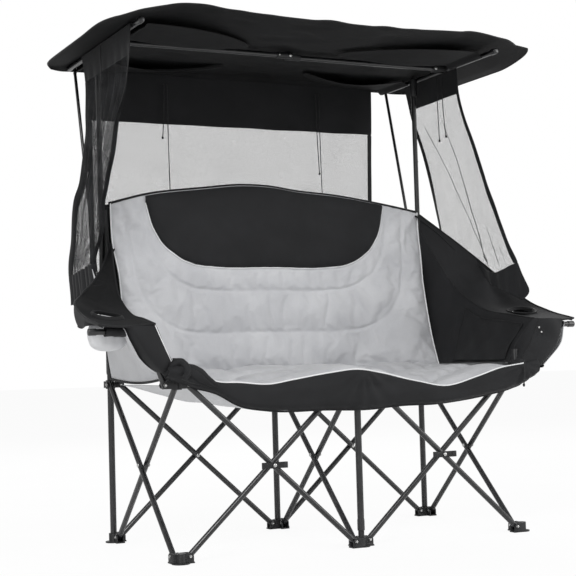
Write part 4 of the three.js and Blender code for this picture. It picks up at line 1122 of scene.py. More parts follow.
def back_front(x, z):
    """Depth of the pad's front"""
    near = from_sewn_line(x, z)
    edge = np.minimum.reduce([back_half(z) - np.abs(x), back_top(x) - z, z - BACK_LOW])
    rim = np.sqrt(np.clip(edge / 0.04, 0, 1))
    full = 1 - 0.5 * np.exp(-((near / SEAM_HALF) ** 2)) - 0.2 * np.exp(-((near / 0.022) ** 2))
    pucker = np.sin(x * math.tau / 0.047 + 1.7 * waves(x, z, 0, 0.16, 4)) * np.exp(-near / 0.03)
    folds = 0.0014 * pucker + 0.0016 * waves(x * 0.7, z, 0, 0.13, 8)
    for height, size, count, reach, seeds in ((0.5, 0.0045, 9, 0.2, (5, 6)), (1.03, 0.002, 7, 0.14, (7, 9))):
        folds = folds + size * sum(
            spokes(x, z, (side * BAY, height), count, reach, seed) for side, seed in zip((-1, 1), seeds)
        )
    return back_lean(x, z) - (0.003 + BACK_PUFF * full * rim + folds * rim)


def make_backrest():
    u, v = grid_of(130, 88)
    z = mix(BACK_LOW, back_top(mix(-BACK_HALF, BACK_HALF, u)), v)
    x = mix(-1, 1, u) * back_half(z)
    front, rear = (stack(x, y, z) for y in (back_front(x, z), back_lean(x, z) + 0.004))
    held = (from_sewn_line(x, z) < SEAM_HALF) | (z > sewn_line(x, 0) - SEAM_HALF)
    made = [make_pad("back_pad", front, rear, held, 0.014, BACK_BODY, "backrest")]
    made.append(make_headrest())

    x = np.linspace(-HEADREST_HALF, HEADREST_HALF, 160) + HEADREST_CENTRE
    z = sewn_line(x, 0)
    trim = [cord_mesh("headrest_piping", stack(x, back_front(x, z) - 0.0045, z), 0.002, PIPING)]
    for side in (-1, 1):
        z = np.linspace(BACK_LOW + 0.004, back_top(side * BACK_HALF), 60)
        x = side * back_half(z)
        trim.append(cord_mesh("back_side_piping", stack(x, back_lean(x, z) - 0.004, z), 0.0022, PIPING))
    made.append(dress(join("back_piping", trim), BACK_BODY))

    x = np.linspace(-BACK_HALF - 0.004, BACK_HALF + 0.004, 120)
    z = back_top(x) + 0.0005
    binding = cord_mesh("back_top_binding", stack(x, course(BACK_LEAN, z) + 0.002, z), 0.0052, TAPE)
    made.append(dress(binding, BACK_BODY))
    made.append(make_back_lining())
    return made


def make_headrest():
    v = np.linspace(0, 1, 27)[:, None]
    x = np.linspace(-HEADREST_HALF, HEADREST_HALF, 111)[None, :] + HEADREST_CENTRE
    low, high = sewn_line(x, 0), back_top(x) - 0.004
    z = mix(low, high, v)
    edge = np.minimum(z - low, high - z)
    lift = 0.0035 + 0.006 * np.sqrt(np.clip(edge / 0.05, 0, 1))
    fold = 0.0022 * waves(x * 0.5, z, 0, 0.11, 21) + 0.002 * spokes(x, z, (0.1, 1.09), 8, 0.15, 22)
    points = stack(x, back_front(x, z) - lift - fold * np.clip(edge / 0.03, 0, 1), z)
    place = (["back_pad"], BACK_BODY, "headrest_panel")
    return sewn("headrest_cover", points, BLACK, CLOTH_WALL, "stretched", *place)


def make_back_lining():
    """Rear cloth, with a sleeve round each post"""
    u, v = grid_of(140, 40)
    x = mix(-BACK_HALF - 0.014, BACK_HALF + 0.014, u)
    z = mix(BACK_LOW, back_top(x), v)
    plane = back_lean(x, z) + 0.0095
    reach = POST_RADIUS + 0.0035
    for post in POSTS:
        inside = np.clip(reach**2 - (x - post) ** 2, 0, None)
        sleeve = BAY + np.sqrt(inside) - 0.002
        flank = np.clip(1 - (np.abs(x - post) - reach) / 0.03, 0, 1) ** 2
        plane = np.maximum(plane, np.where(inside > 0, sleeve, mix(plane, BAY, flank)))
    plane = plane + 0.001 * waves(x, z, 0, 0.12, 31) * soft_step(0.02, 0.08, np.abs(x) - 0.02)
    points = stack(x, plane, z)
    return sewn("back_rear_lining", points, BLACK, CLOTH_WALL, "stretched", ["rear_middle_post"], BACK_BODY)


# Seat and front band
SEAT_BODY = "front_middle_hub"
SEAT_HALF = 0.53
SEAT_FRONT = -0.026
SEAT_REAR = 0.488
SEAT_SEAMS = (0.36, 0.68)

BAND_TOP = (
    (-0.59, 0.52), (-0.573, 0.527), (-0.533, 0.526), (-0.451, 0.482), (-0.377, 0.476), (-0.285, 0.469),
    (-0.223, 0.478), (-0.09, 0.496), (-0.014, 0.502), (0.048, 0.493), (0.18, 0.463), (0.28, 0.446),
    (0.391, 0.47), (0.466, 0.491), (0.547, 0.503), (0.62, 0.515),
)
BAND_LOW = (
    (-0.59, 0.498), (-0.532, 0.474), (-0.44, 0.449), (-0.379, 0.416), (-0.29, 0.398), (-0.107, 0.393),
    (0.015, 0.389), (0.15, 0.396), (0.252, 0.396), (0.318, 0.401), (0.435, 0.416), (0.544, 0.44),
    (0.62, 0.478),
)
SLING_DROP = 0.084
BAND_ENDS = (-0.588, 0.612)
PIPING_ENDS = (-0.474, 0.562)
LEFT_ROLL = (
    (-0.597, -0.014, 0.508, 0.008), (-0.575, -0.021, 0.51, 0.016), (-0.546, -0.03, 0.509, 0.023),
    (-0.516, -0.034, 0.503, 0.0245), (-0.488, -0.034, 0.49, 0.019), (-0.463, -0.034, 0.477, 0.012),
    (-0.44, -0.034, 0.468, 0.007),
)
LEFT_LOOP = (
    (-0.577, -0.02, 0.509, 0.008), (-0.57, -0.032, 0.5295, 0.0108), (-0.5545, -0.038, 0.537, 0.0114),
    (-0.541, -0.046, 0.526, 0.0108), (-0.54, -0.054, 0.506, 0.0095), (-0.553, -0.052, 0.491, 0.007),
)

RIGHT_GATHER = ((0.549, -0.016, 0.505), (0.03, 0.02, 0.014))


def sling_share(x):
    return (np.sin(math.pi * np.abs(x) / BAY) ** 2) ** 0.75


def seat_share(y):
    return (y - SEAT_FRONT) / (SEAT_REAR - SEAT_FRONT)


def from_seat_seam(share):
    return np.minimum.reduce([np.abs(share - seam) for seam in SEAT_SEAMS])


def seat_top(x, y):
    v = np.clip(seat_share(y), 0, 1)
    level = mix(course(BAND_TOP, x), 0.508, soft_step(0, 0.75, v))
    sag = (0.006 + 0.024 * sling_share(x)) * np.sin(math.pi * v) ** 0.8
    lines = from_seat_seam(v) * (SEAT_REAR - SEAT_FRONT)
    groove = np.exp(-((lines / 0.016) ** 2))
    pucker = np.sin(x * math.tau / 0.05 + 1.6 * waves(x, y, 0, 0.2, 41)) * np.exp(-lines / 0.03)
    edge = np.minimum(SEAT_HALF - np.abs(x), np.minimum(y - SEAT_FRONT, SEAT_REAR - y))
    rim = np.sqrt(np.clip(edge / 0.03, 0, 1))
    folds = 0.0018 * pucker + 0.0025 * waves(x * 0.6, y, 0, 0.12, 42)
    for post in POSTS:
        folds = folds + 0.004 * spokes(x, y, (post, -0.02), 9, 0.12, 43)
    return level - sag + (0.011 * (1 - groove) + folds) * rim - 0.004


def make_seat():
    u, v = grid_of(120, 54)
    x, y = mix(-SEAT_HALF, SEAT_HALF, u), mix(SEAT_FRONT, SEAT_REAR, v)
    top = seat_top(x, y)
    thick = 0.006 + 0.014 * np.sqrt(np.clip(4 * u * (1 - u) * 4 * v * (1 - v), 0, 1))
    held = from_seat_seam(seat_share(y)) < 0.009
    upper, lower = (stack(x, y, z) for z in (top, top - thick))
    pad = make_pad("seat_pad", upper, lower, held, 0.01, SEAT_BODY, "seat")
    return [pad, make_sling(), *make_band()]


def make_sling():
    u, v = grid_of(110, 36)
    x = mix(-SEAT_HALF, SEAT_HALF, u)
    near = np.minimum.reduce([np.abs(x - post) for post in POSTS])
    y = mix(mix(0.048, -0.024, soft_step(0.03, 0.1, near)), 0.5, v)
    low = 0.476 - SLING_DROP * sling_share(x) * mix(1.0, 0.72, v)
    at_hem = np.maximum(low, course(BAND_LOW, x) + 0.003)
    low = mix(at_hem, low, soft_step(0.0, 0.25, v))
    low = low + 0.003 * waves(x, y * 0.6, 0, 0.14, 51) * np.sin(math.pi * u) * soft_step(0.0, 0.2, v)
    rests_on = ["front_middle_hub", "rear_middle_hub"]
    # the sling takes the lighter grey copy: painted light against the shade under the seat pad
    return sewn("seat_sling", stack(x, y, low), PAINTED_LIGHT_GREY, CLOTH_WALL, "hung", rests_on, SEAT_BODY)


def make_band():
    """Front band with its piping and hem, and the twisted or gathered cloth at its ends"""
    u, v = grid_of(150, 26)
    x = mix(*BAND_ENDS, u)
    z = mix(course(BAND_TOP, x), course(BAND_LOW, x), v)
    belly = np.sin(math.pi * v) ** 0.7
    hub = np.maximum.reduce([np.exp(-(((x - post) / 0.045) ** 2)) for post in POSTS])
    y = -0.0295 - 0.011 * belly - 0.008 * hub * (1 - v)
    y = y - 0.0042 * waves(x * 0.35, z * 1.5, 0, 0.09, 61) * belly
    y = y + 0.0018 * np.exp(-(((v - 0.86) / 0.03) ** 2)) + 0.012 * soft_step(0.85, 1.0, v)
    for post in POSTS:
        y = y - 0.005 * spokes(x, z, (post, 0.5), 10, 0.1, 62)
    points = stack(x, y, z)
    rests_on = ["front_left_hub", "front_middle_hub", "front_right_hub"]
    made = [sewn("front_band_cloth", points, BLACK, 0.003, "hung", rests_on, SEAT_BODY, "front_band")]
    bare = (x[0] > PIPING_ENDS[0]) & (x[0] < PIPING_ENDS[1])
    edge = cord_mesh("front_band_piping", points[0][bare] + (0, -0.001, 0.0012), 0.0023, PIPING)
    hem = cord_mesh("front_band_hem", points[-1] + (0, 0, -0.0005), 0.0032, TAPE)
    knots = [twisted("roll", LEFT_ROLL, 5, 1.6, 71), twisted("loop", LEFT_LOOP, 3, 1.1, 72)]
    knots = join("front_band_knots", knots + [crumpled("gather", *RIGHT_GATHER, 74)])
    return made + [dress(piece, SEAT_BODY) for piece in (edge, hem, knots)]


def closed_cloth(name, points, uv):
    """Closed form through rings of places, which shrink to one place at both ends"""
    faces = tube_quads(*points.shape[:2])
    verts = points.reshape(-1, 3) + (0, FRONT_ROW, 0)
    piece = make_object(name, verts, faces, BLACK, np.stack(uv, -1).reshape(-1, 2))
    with editing(piece) as work:
        bmesh.ops.remove_doubles(work, verts=work.verts, dist=1e-6)
    return outwards(piece)


def unit(ways):
    return ways / np.linalg.norm(ways, axis=1, keepdims=True)


def twisted(name, stations, folds, turns, seed):
    """Roll of twisted cloth along (x, y, z, radius) stations, with folds that wind round it"""
    t, angle = np.meshgrid(np.linspace(0, 1, 72), np.arange(60) / 60, indexing="ij")
    share = np.linspace(0, 1, len(stations))
    x, y, z, radius = (course(list(zip(share, values)), t[:, 0]) for values in zip(*stations))
    line = np.stack((x, y, z), -1)
    along = unit(np.gradient(line, axis=0))
    side = unit(np.cross(along, (0.0, 1.0, 0.0)))
    out = np.cross(side, along)
    place = (folds * angle + turns * t) % 1
    fold = mix(0.72, 1.1, place**0.6) * (1 - 0.3 * soft_step(0.86, 1.0, place))
    close = np.sqrt(np.clip(np.minimum(t, 1 - t) / 0.05, 0, 1))
    ridges = 1 + 0.06 * waves(t * 0.16, angle * 0.05, 0, 0.03, seed)
    reach = (radius[:, None] * fold * close * ridges)[..., None]
    turn = (math.tau * angle)[..., None]
    points = line[:, None] + reach * (np.cos(turn) * side[:, None] + np.sin(turn) * out[:, None])
    return closed_cloth(name, points, (0.12 * angle, 0.18 * t))


def crumpled(name, centre, radii, seed):
    """Gathered lump of cloth with deep creases"""
    t, angle = np.meshgrid(np.linspace(0, 1, 27), np.arange(40) / 40, indexing="ij")
    tilt, turn = math.pi * t, math.tau * angle
    way = np.stack((np.sin(tilt) * np.cos(turn), np.sin(tilt) * np.sin(turn), np.cos(tilt)), -1)
    spot = np.moveaxis(way * 0.05, -1, 0)
    bulk = 1 + 0.09 * waves(*spot, 0.045, seed) + 0.05 * waves(*spot, 0.018, seed + 1)
    points = np.array(centre) + way * np.array(radii) * bulk[..., None]
    return closed_cloth(name, points, (0.2 * angle, 0.1 * t))


# Side panels, arm shelves and cup pouches
PANEL_FRONT = -0.014
PANEL_REAR = 0.52
PANEL_FOOT = (0.5375, 0.51)

RIDGE_X = (
    (0, 0.612), (0.194, 0.603), (0.435, 0.597), (0.568, 0.593), (0.683, 0.587), (0.776, 0.578),
    (0.939, 0.556), (1, 0.547),
)
RIDGE_Z = (
    (0, 0.64), (0.194, 0.656), (0.435, 0.677), (0.568, 0.706), (0.683, 0.742), (0.776, 0.791),
    (0.939, 0.915), (1, 0.965),
)
LEFT_RIDGE_Z = (*RIDGE_Z[:5], (0.776, 0.788), (0.939, 0.87), (1, 0.903))
LEFT_OUTER_Z = (
    (0, 0.638), (0.25, 0.668), (0.46, 0.708), (0.62, 0.732), (0.7, 0.752), (0.8, 0.778), (0.9, 0.826),
    (1, 0.9),
)
LEFT_STRAP = (
    (-0.5485, 0.541, 1.018), (-0.5525, 0.536, 0.985), (-0.556, 0.528, 0.94), (-0.556, 0.518, 0.897),
)
OUTER_X = ((0, 0.766), (0.25, 0.769), (0.46, 0.757), (0.62, 0.712), (0.8, 0.642), (1, 0.55))
OUTER_Z = ((0, 0.638), (0.25, 0.668), (0.46, 0.714), (0.62, 0.796), (0.8, 0.898), (1, 1.012))
SKIRT = (
    (0, 0.004), (0.1, 0.008), (0.2, 0.018), (0.36, 0.05), (0.5, 0.058), (0.7, 0.036), (0.9, 0.01),
    (1, 0.002),
)
CUP_PLACE = (0.69, 0.15)
CUP_RADIUS = 0.04
FACING_SEAM = 0.17
LINING_REAR = 0.468
SLEEVE_ENDS = (0.628, 0.742)
EYELETS = ((0.618, -0.036, 0.612), (0.626, -0.036, 0.598))
FACING = {
    "left": (
        ((0.613, 0.636), (0.588, 0.578), (0.563, 0.525), (0.553, 0.506)),
        ((0.694, 0.634), (0.669, 0.587), (0.645, 0.545), (0.618, 0.519), (0.58, 0.5)),
    ),
    "right": (
        ((0.608, 0.64), (0.588, 0.604), (0.562, 0.56), (0.545, 0.528), (0.54, 0.5)),
        ((0.745, 0.638), (0.733, 0.604), (0.716, 0.558), (0.671, 0.512), (0.612, 0.464), (0.572, 0.44)),
    ),
}


def ridge_z(side, v):
    return course(LEFT_RIDGE_Z if side < 0 else RIDGE_Z, v)


def outer_z(side, v):
    return course(LEFT_OUTER_Z if side < 0 else OUTER_Z, v)


def depth_at(v, lower=0.0):
    return mix(mix(PANEL_FRONT, 0.0145, lower), PANEL_REAR, v)


def level_at(y):
    return (y - PANEL_FRONT) / (PANEL_REAR - PANEL_FRONT)


def inner_panel(side, s, v):
    """Inner panel from its foot, s = 0, to the ridge, s = 1"""
    x = mix(PANEL_FOOT[0], course(RIDGE_X, v), s) + 0.004 * np.sin(math.pi * s) * np.sin(math.pi * v) ** 0.5
    y = depth_at(v, 1 - soft_step(0.4, 1.0, s))
    z = mix(PANEL_FOOT[1], ridge_z(side, v), s)
    return side * x, y, z


def shelf_panel(side, s, v):
    """Shelf from the ridge, s = 0, to its outer edge, s = 1"""
    x = mix(course(RIDGE_X, v), course(OUTER_X, v), s)
    z = mix(ridge_z(side, v), outer_z(side, v), s) - 0.006 * np.sin(math.pi * s)
    return side * x, depth_at(v), z


def inside_share(u, v):
    """0 at a panel's edges and 1 in its middle"""
    return np.clip(16 * u * (1 - u) * v * (1 - v), 0, 1) ** 0.5


def make_wing(label, side):
    body, hub, bar = "rear_%s_foot" % label, "front_%s_hub" % label, "arm_bar_" + label
    made, trim = [], []

    def add(name, points, cloth, wall, held, rests_on, *nodes, **hole):
        made.append(sewn(name + label, points, cloth, wall, held, rests_on, body, *nodes, **hole))

    def bind(name, path, radius, flat=1.0, lift=(0, 0, 0), sides=8):
        trim.append(cord_mesh(name, path + np.array(lift), radius, TAPE, sides, flat))

    u, v = grid_of(48, 72)
    x, y, z = inner_panel(side, u, v)
    rim = inside_share(u, v)
    x = x + side * rim * (0.005 * waves(x * 0.4, y, z, 0.16, 81 + side) + 0.0025 * waves(x, y, z, 0.07, 83))
    x = x + side * rim * 0.006 * spokes(y, z, (0.5, 0.98), 8, 0.25, 84)
    add("wing_inner_", stack(x, y, z), BLACK, CLOTH_WALL, "stretched", [hub, body], "side_panel_" + label)

    u, v = grid_of(34, 120)
    x, y, z = shelf_panel(side, u, v)
    crease = 0.0025 * waves(x, y, 0, 0.09, 87 + side) + 0.005 * spokes(x * side, y, (0.6, 0.4), 7, 0.15, 88)
    points = stack(x, y, z + inside_share(u, v) * crease)
    middle = (points[:-1, :-1] + points[1:, 1:]) / 2
    from_cup = np.hypot(middle[..., 0] - side * CUP_PLACE[0], middle[..., 1] - FRONT_ROW - CUP_PLACE[1])
    # the left shelf takes the darker black copy, which is painted shade; the right shelf keeps the plain
    # black cloth
    cloth = PAINTED_SHADE_BLACK if label == "left" else BLACK
    add("arm_shelf_", points, cloth, 0.002, "stretched", [bar, body], keep=from_cup > CUP_RADIUS)
    for path, radius in ((points[:, 0], 0.0022), (points[:, -1], 0.003), (points[0, :], 0.003)):
        bind("seam", path, radius, lift=(0, 0, 0.0012))
    turn = np.linspace(0, math.tau, 49)
    ring_x, ring_y = (c + (CUP_RADIUS + 0.003) * f(turn) for c, f in zip(CUP_PLACE, (np.cos, np.sin)))
    level = level_at(ring_y)
    inside, outside = course(RIDGE_X, level), course(OUTER_X, level)
    ring_z = shelf_panel(side, (ring_x - inside) / (outside - inside), level)[2] + 0.002
    bind("ring", stack(side * ring_x, ring_y, ring_z), 0.0075, 0.4, sides=10)

    drop = course(SKIRT, v[:, 0])[:, None]
    share = np.linspace(0, 1, 16)[None, :]
    sway = 0.005 * waves(v[:, :1] * 0.6, share * 0.1, 0, 0.12, 91) * share
    fall = np.broadcast_arrays(side * (sway - 0.012 * share**2), 0, -drop * share)
    skirt = points[:, -1][:, None, :] + np.stack(fall, -1)
    add("arm_skirt_", skirt, BLACK, CLOTH_WALL, "hung", ["arm_shelf_" + label])
    bind("skirt_hem", skirt[:, -1], 0.0022)

    facing = facing_points(label, side)
    add("wing_facing_", facing, BLACK, 0.002, "stretched", [hub, bar])
    white = []
    if label == "left":
        white.append(cord_mesh("facing_piping", facing[:, -1], 0.0018, PIPING))
        white.append(cord_mesh("facing_piping", facing[:, 0] + (0, -0.001, 0), 0.0016, PIPING))
        bind("strap", LEFT_STRAP, 0.0045, 0.5, (0, FRONT_ROW, 0))
    else:
        trim += [dome(at(*place), Vector((0, -1, 0)), 0.003, 0.002) for place in EYELETS]
        bind("facing_seam", facing[:, 4], 0.002)

    low, high = ends_of(bar)
    axis = (low + high) / 2
    x = np.linspace(*SLEEVE_ENDS, 40)[:, None]
    turn = np.linspace(0, math.tau, 25)[None, :]
    radius = 0.0128 + 0.0011 * waves(x, 0.02 * np.cos(turn), 0.02 * np.sin(turn), 0.03, 97)
    tube = np.broadcast_arrays(side * x, axis.y + radius * np.cos(turn), axis.z + radius * np.sin(turn))
    add("bar_sleeve_", np.stack(tube, -1), BLACK, 0.0012, "stretched", [bar])

    lining = lining_points(label, side)
    add("wing_lining_", lining, LINING, CLOTH_WALL, "hung", [hub, "rear_%s_hub" % label])
    bind("lining_hem", lining[0], 0.0055, 0.5, (0, 0, -0.003))
    bind("lining_rear", lining[:, -1], 0.0045, 0.6)
    made.append(dress(join("wing_binding_" + label, trim), body))
    if white:
        made.append(dress(join("wing_piping_" + label, white), body))

    u, v = grid_of(40, 30)
    x, y, z = inner_panel(side, mix(0.05, 0.86, v), mix(0.05, 0.6, u))
    x = x - side * (0.006 + 0.006 * np.sin(math.pi * u) * v + 0.002 * waves(x, y, z, 0.08, 103))
    pocket = stack(x, y, z)
    add("wing_pocket_", pocket, TAPE, CLOTH_WALL, "stretched", ["wing_inner_" + label])
    edges = (pocket[-1], pocket[:, 0], pocket[:, -1])
    seams = [cord_mesh("pocket_seam", path, 0.0028, TAPE, 8, 0.7) for path in edges]
    made.append(dress(join("wing_pocket_binding_" + label, seams), body))
    squash(made, at(side * 0.56, 0.53, 0.7))


FACING_ROWS = 44


def facing_points(label, side):
    """Front facing between its two edges; the right one's inner seam lies on the inner panel"""
    share = np.linspace(0, 1, FACING_ROWS)[:, None]
    s = np.linspace(0, 1, 25)[None, :]
    near, far = (spline(edge, FACING_ROWS)[:, None] for edge in FACING[label])
    x, z = np.moveaxis(mix(near, far, s[..., None]), -1, 0)
    bulge = 0.016 * np.sin(math.pi * np.clip(share * 0.9 + 0.1, 0, 1))
    fold = 0.0045 * waves(x * 0.6, 0, z * 1.2, 0.1, 95 + side)
    y = 0.03 * soft_step(0.8, 1, s) - 0.0165 - (bulge + fold) * np.sin(math.pi * s)
    if label == "right":
        turned_in = 1 - soft_step(0, FACING_SEAM, s)
        height = np.clip((z - PANEL_FOOT[1]) / (RIDGE_Z[0][1] - PANEL_FOOT[1]), 0, 1)
        y = mix(y, depth_at(0, 1 - soft_step(0.4, 1, height)) + 0.002, turned_in)
        x = mix(x, mix(PANEL_FOOT[0], RIDGE_X[0][1], height) - 0.001, turned_in)
    return stack(side * x, y, z)


def lining_points(label, side):
    """Grey outer cloth, from the facing's outer edge back to the rear post"""
    u, v = grid_of(60, 26)
    level = level_at(LINING_REAR * u)
    top = np.minimum(ridge_z(side, level), outer_z(side, level) + 0.01) - 0.012
    z = mix(0.497 - 0.012 * np.sin(math.pi * u), top, v)
    outer = spline(FACING[label][1], FACING_ROWS)
    outer = outer[np.argsort(outer[:, 1])]
    front_x = np.interp(z, outer[:, 1], outer[:, 0])
    rear_x = np.maximum(mix(0.566, 0.62, v), 0.012 + mix(PANEL_FOOT[0], course(RIDGE_X, u), v))
    x = mix(np.maximum(front_x - 0.006, rear_x), rear_x, soft_step(0, 0.5, u)) + 0.008
    x = x + 0.004 * waves(u * 0.4, z, 0, 0.14, 101) * np.sin(math.pi * v)
    return stack(side * x, mix(0.002, LINING_REAR, u), z)


POUCH_RADIUS = (
    (0, 0.0415), (0.2, 0.047), (0.45, 0.052), (0.68, 0.05), (0.84, 0.041), (0.94, 0.024), (1, 0.0005),
)
POUCH_FALL = ((0, 0), (0.5, 0.42), (0.84, 0.86), (0.94, 0.965), (1, 1))


def make_pouch(label):
    """Grey pouch that hangs from the cup hole, fuller below and drawn in at its base"""
    low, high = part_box("cup_pouch_" + label)
    centre = (low + high) / 2
    t = np.linspace(0, 1, 30)[:, None]
    turn = np.linspace(0, math.tau, 65)[None, :]
    swollen = np.sin(math.pi * t)
    gather = 0.0016 * np.sin(turn * 11 + 1.2) * swollen + 0.002 * np.sin(turn * 3 + t * 4)
    radius = course(POUCH_RADIUS, t) * (1 + 0.06 * np.cos(2 * turn) * swollen) + gather * swollen
    z = high.z - (high.z - low.z + 0.009) * course(POUCH_FALL, t)
    points = np.stack(
        np.broadcast_arrays(centre.x + radius * np.cos(turn), centre.y + radius * np.sin(turn), z), -1
    )
    points[:, -1] = points[:, 0]
    pouch, shelf, hub = "cup_pouch_" + label, "arm_shelf_" + label, "front_%s_hub" % label
    # the pouch takes the lighter grey copy: painted light
    sewn(pouch + "_cloth", points, PAINTED_LIGHT_GREY, 0.0014, "hung", [shelf], hub, pouch)


# Canopy cloth
ROOF_EDGE = 0.598

ROOF_TOP = (
    (-0.73, 1.476), (-0.7, 1.482), (-0.655, 1.49), (-0.598, 1.506), (-0.47, 1.531), (-0.33, 1.523),
    (-0.15, 1.514), (0, 1.511), (0.2, 1.512), (0.4, 1.523), (0.5, 1.526), (0.598, 1.516), (0.65, 1.511),
    (0.705, 1.504), (0.75, 1.497),
)
ROOF_LEFT = -0.7
ROOF_RIGHT = 0.744
ROOF_FRONT = 0.045
ROOF_REAR = 0.788
ROOF_OVER_RAILS = 1.4998
POCKET_ROOT = 0.575
RAIL_TOP = 1.4755
ROOF_POCKETS = (
    ("front_left", -1, -1, 0.335, 0.41),
    ("front_right", 1, -1, 0.335, 0.43),
    ("rear_left", -1, 1, 0.6, 0.45),
    ("rear_right", 1, 1, 0.6, 0.4),
)


def roof_place(x, v):
    out = np.clip((np.abs(x) - ROOF_EDGE) / 0.1, 0, 1)
    front = ROOF_FRONT - 0.012 * np.cos(x * math.pi / 0.6) * (1 - out) + 0.05 * out**1.3
    rear = ROOF_REAR - 0.07 * out**1.3
    y = mix(front, rear, v)
    x = x - np.sign(x) * 0.034 * out * np.abs(2 * v - 1) ** 8
    inside = np.clip(1 - (np.abs(x) / ROOF_EDGE) ** 6, 0, 1)
    middle = ROOF_OVER_RAILS + 0.002 * inside - 0.024 * out
    z = mix(course(ROOF_TOP, x), middle, soft_step(0, 0.34, v))
    z = z - (0.004 + 0.012 * (1 - out)) * soft_step(0.965, 1.0, v)
    pull = 0.003 * waves(x, y * 1.4, 0, 0.2, 111) * inside + 0.0016 * waves(x, y, 0, 0.08, 112) * inside
    fold = sum(spokes(x, y, (side * 0.58, place), 9, 0.16, 113) for side in (-1, 1) for place in (0.12, 0.72))
    return x, y, z + np.maximum(pull, 0) + 0.003 * fold * np.sin(math.pi * v) * inside


def make_roof():
    u, v = grid_of(128, 72)
    points = stack(*roof_place(mix(ROOF_LEFT, ROOF_RIGHT, u), v))
    body, rails = "canopy_rail_left", ["canopy_rail_left", "canopy_rail_right"]
    # roof sheet and its pockets take the darker black copy: painted shade on the canopy's underside
    made = [sewn("roof_sheet", points, PAINTED_SHADE_BLACK, 0.0014, "stretched", rails, body, "roof_cloth")]
    rim = np.concatenate([points[0], points[1:, -1], points[-1, -2::-1], points[-2:0:-1, 0], points[:1, 0]])
    made.append(dress(cord_mesh("roof_hem", rim, 0.0022, TAPE), body))
    u, v = grid_of(44, 14)
    for label, side, way, start, reach in ROOF_POCKETS:
        x = side * mix(POCKET_ROOT, POCKET_ROOT - reach, u)
        wide = 0.17 * (1 - u) ** 0.6 + 0.02
        y = start + way * (0.03 * np.sin(math.pi * u) + wide * v)
        z = ROOF_OVER_RAILS - 0.008 - 0.022 * np.sin(math.pi * u) * (1 - v) ** 1.2
        z = np.where(np.abs(np.abs(x) - 0.582) < 0.02, np.minimum(z, RAIL_TOP), z)
        name = "roof_pocket_" + label
        made.append(sewn(name, stack(x, y, z), PAINTED_SHADE_BLACK, 0.0012, "stretched", ["roof_sheet"], body))
    close_with_frame(made)


def curtain(name, points, header, hem, border, body, rests_on):
    """Netting with a cloth header, border tapes and a hem, all through one grid of points"""
    last = len(points) - 1
    top, bottom = round(header * last), round((1 - hem) * last)
    net = points[top : bottom + 1]
    made = [sewn(name + "_netting", net, NET, 0.0, "hung", rests_on, body, name)]
    for part, slab, cloth, wall in (
        ("header", points[: top + 1], BLACK, 0.0012),
        ("hem", points[bottom:], BLACK, 0.0014),
        ("front_tape", net[:, : border + 1], TAPE, 0.0016),
        ("rear_tape", net[:, -border - 1 :], TAPE, 0.0016),
    ):
        made.append(sewn("%s_%s" % (name, part), slab, cloth, wall, "hung", rests_on, body))
    return made


REAR_CURTAIN_LEFT = -0.53
REAR_CURTAIN_RIGHT = 0.527
REAR_CURTAIN_PLANE = 0.783
REAR_CURTAIN_TOP = 1.492
CURTAIN_BOTTOM = 0.76


def make_rear_curtain():
    u, v = grid_of(180, 80)
    x = mix(REAR_CURTAIN_LEFT, REAR_CURTAIN_RIGHT, u) - 0.016 * v * soft_step(0.9, 1, u)
    z = mix(REAR_CURTAIN_TOP, CURTAIN_BOTTOM, v)
    folds = 0.007 * np.sin(u * math.tau * 5 + 0.8 * np.sin(v * 3)) + 0.003 * waves(x, 0, z * 0.4, 0.11, 121)
    points = stack(x, REAR_CURTAIN_PLANE + folds * soft_step(0.0, 0.4, v), z)
    close_with_frame(curtain("rear_curtain", points, 0.222, 0.07, 3, "canopy_brace_left", ["roof_sheet"]))


LEFT_FRONT = (
    (0.84, 0.46), (0.937, 0.378), (1.003, 0.365), (1.068, 0.324), (1.136, 0.275), (1.23, 0.233),
    (1.312, 0.168), (1.49, 0.15),
)
LEFT_REAR = (
    (0.72, 0.698), (0.818, 0.691), (0.915, 0.654), (1.039, 0.624), (1.1, 0.569), (1.175, 0.534),
    (1.231, 0.515), (1.293, 0.53), (1.413, 0.56), (1.49, 0.6),
)
RIGHT_FRONT = (
    (0.7, 0.07), (0.712, 0.04), (0.73, 0.03), (0.748, 0.041), (0.839, 0.098), (0.973, 0.171), (1.197, 0.27),
    (1.4, 0.345), (1.49, 0.345),
)
RIGHT_REAR = ((0.988, 0.599), (1.242, 0.639), (1.342, 0.666), (1.49, 0.684))
RIGHT_NET_LOW = ((0, 0.82), (0.35, 0.802), (0.5, 0.83), (0.7, 0.9), (1, 0.95))
RIGHT_HEM = ((0, 0.7), (0.1, 0.71), (0.3, 0.745), (0.5, 0.79), (0.7, 0.85), (1, 0.91))
RIGHT_FLARE = ((0, 0.028), (0.3, 0.04), (0.55, 0.075), (1, 0.085))
LEFT_NET_LOW = ((0, 0.84), (0.4, 0.83), (1, 0.815))
LEFT_HEM = ((0, 0.74), (0.4, 0.735), (1, 0.724))
LEFT_FLARE = ((0, 0.012), (1, 0.014))
RIGHT_PLEATS = (
    (1.0, 0.22, 0.013, 0.12), (0.45, 0.34, 0.009, 0.12), (0.16, 0.2, 0.01, 0.62), (0.1, 0.12, 0.008, 0.68),
)
SIDE_CURTAIN_PLANE = 0.6035
SIDE_CURTAIN_TOP = 1.489
HEADER_LOW = 1.4
HEADER_SHARE = 0.12
HEM_SHARE = 0.12
PLEAT_LAP = 0.85


def pleat(u, v, start, end, width):
    """Share of a pressed fold that runs down the cloth from one place to another"""
    off = (u - mix(start, end, v)) / width
    return off * np.exp(-(off**2))


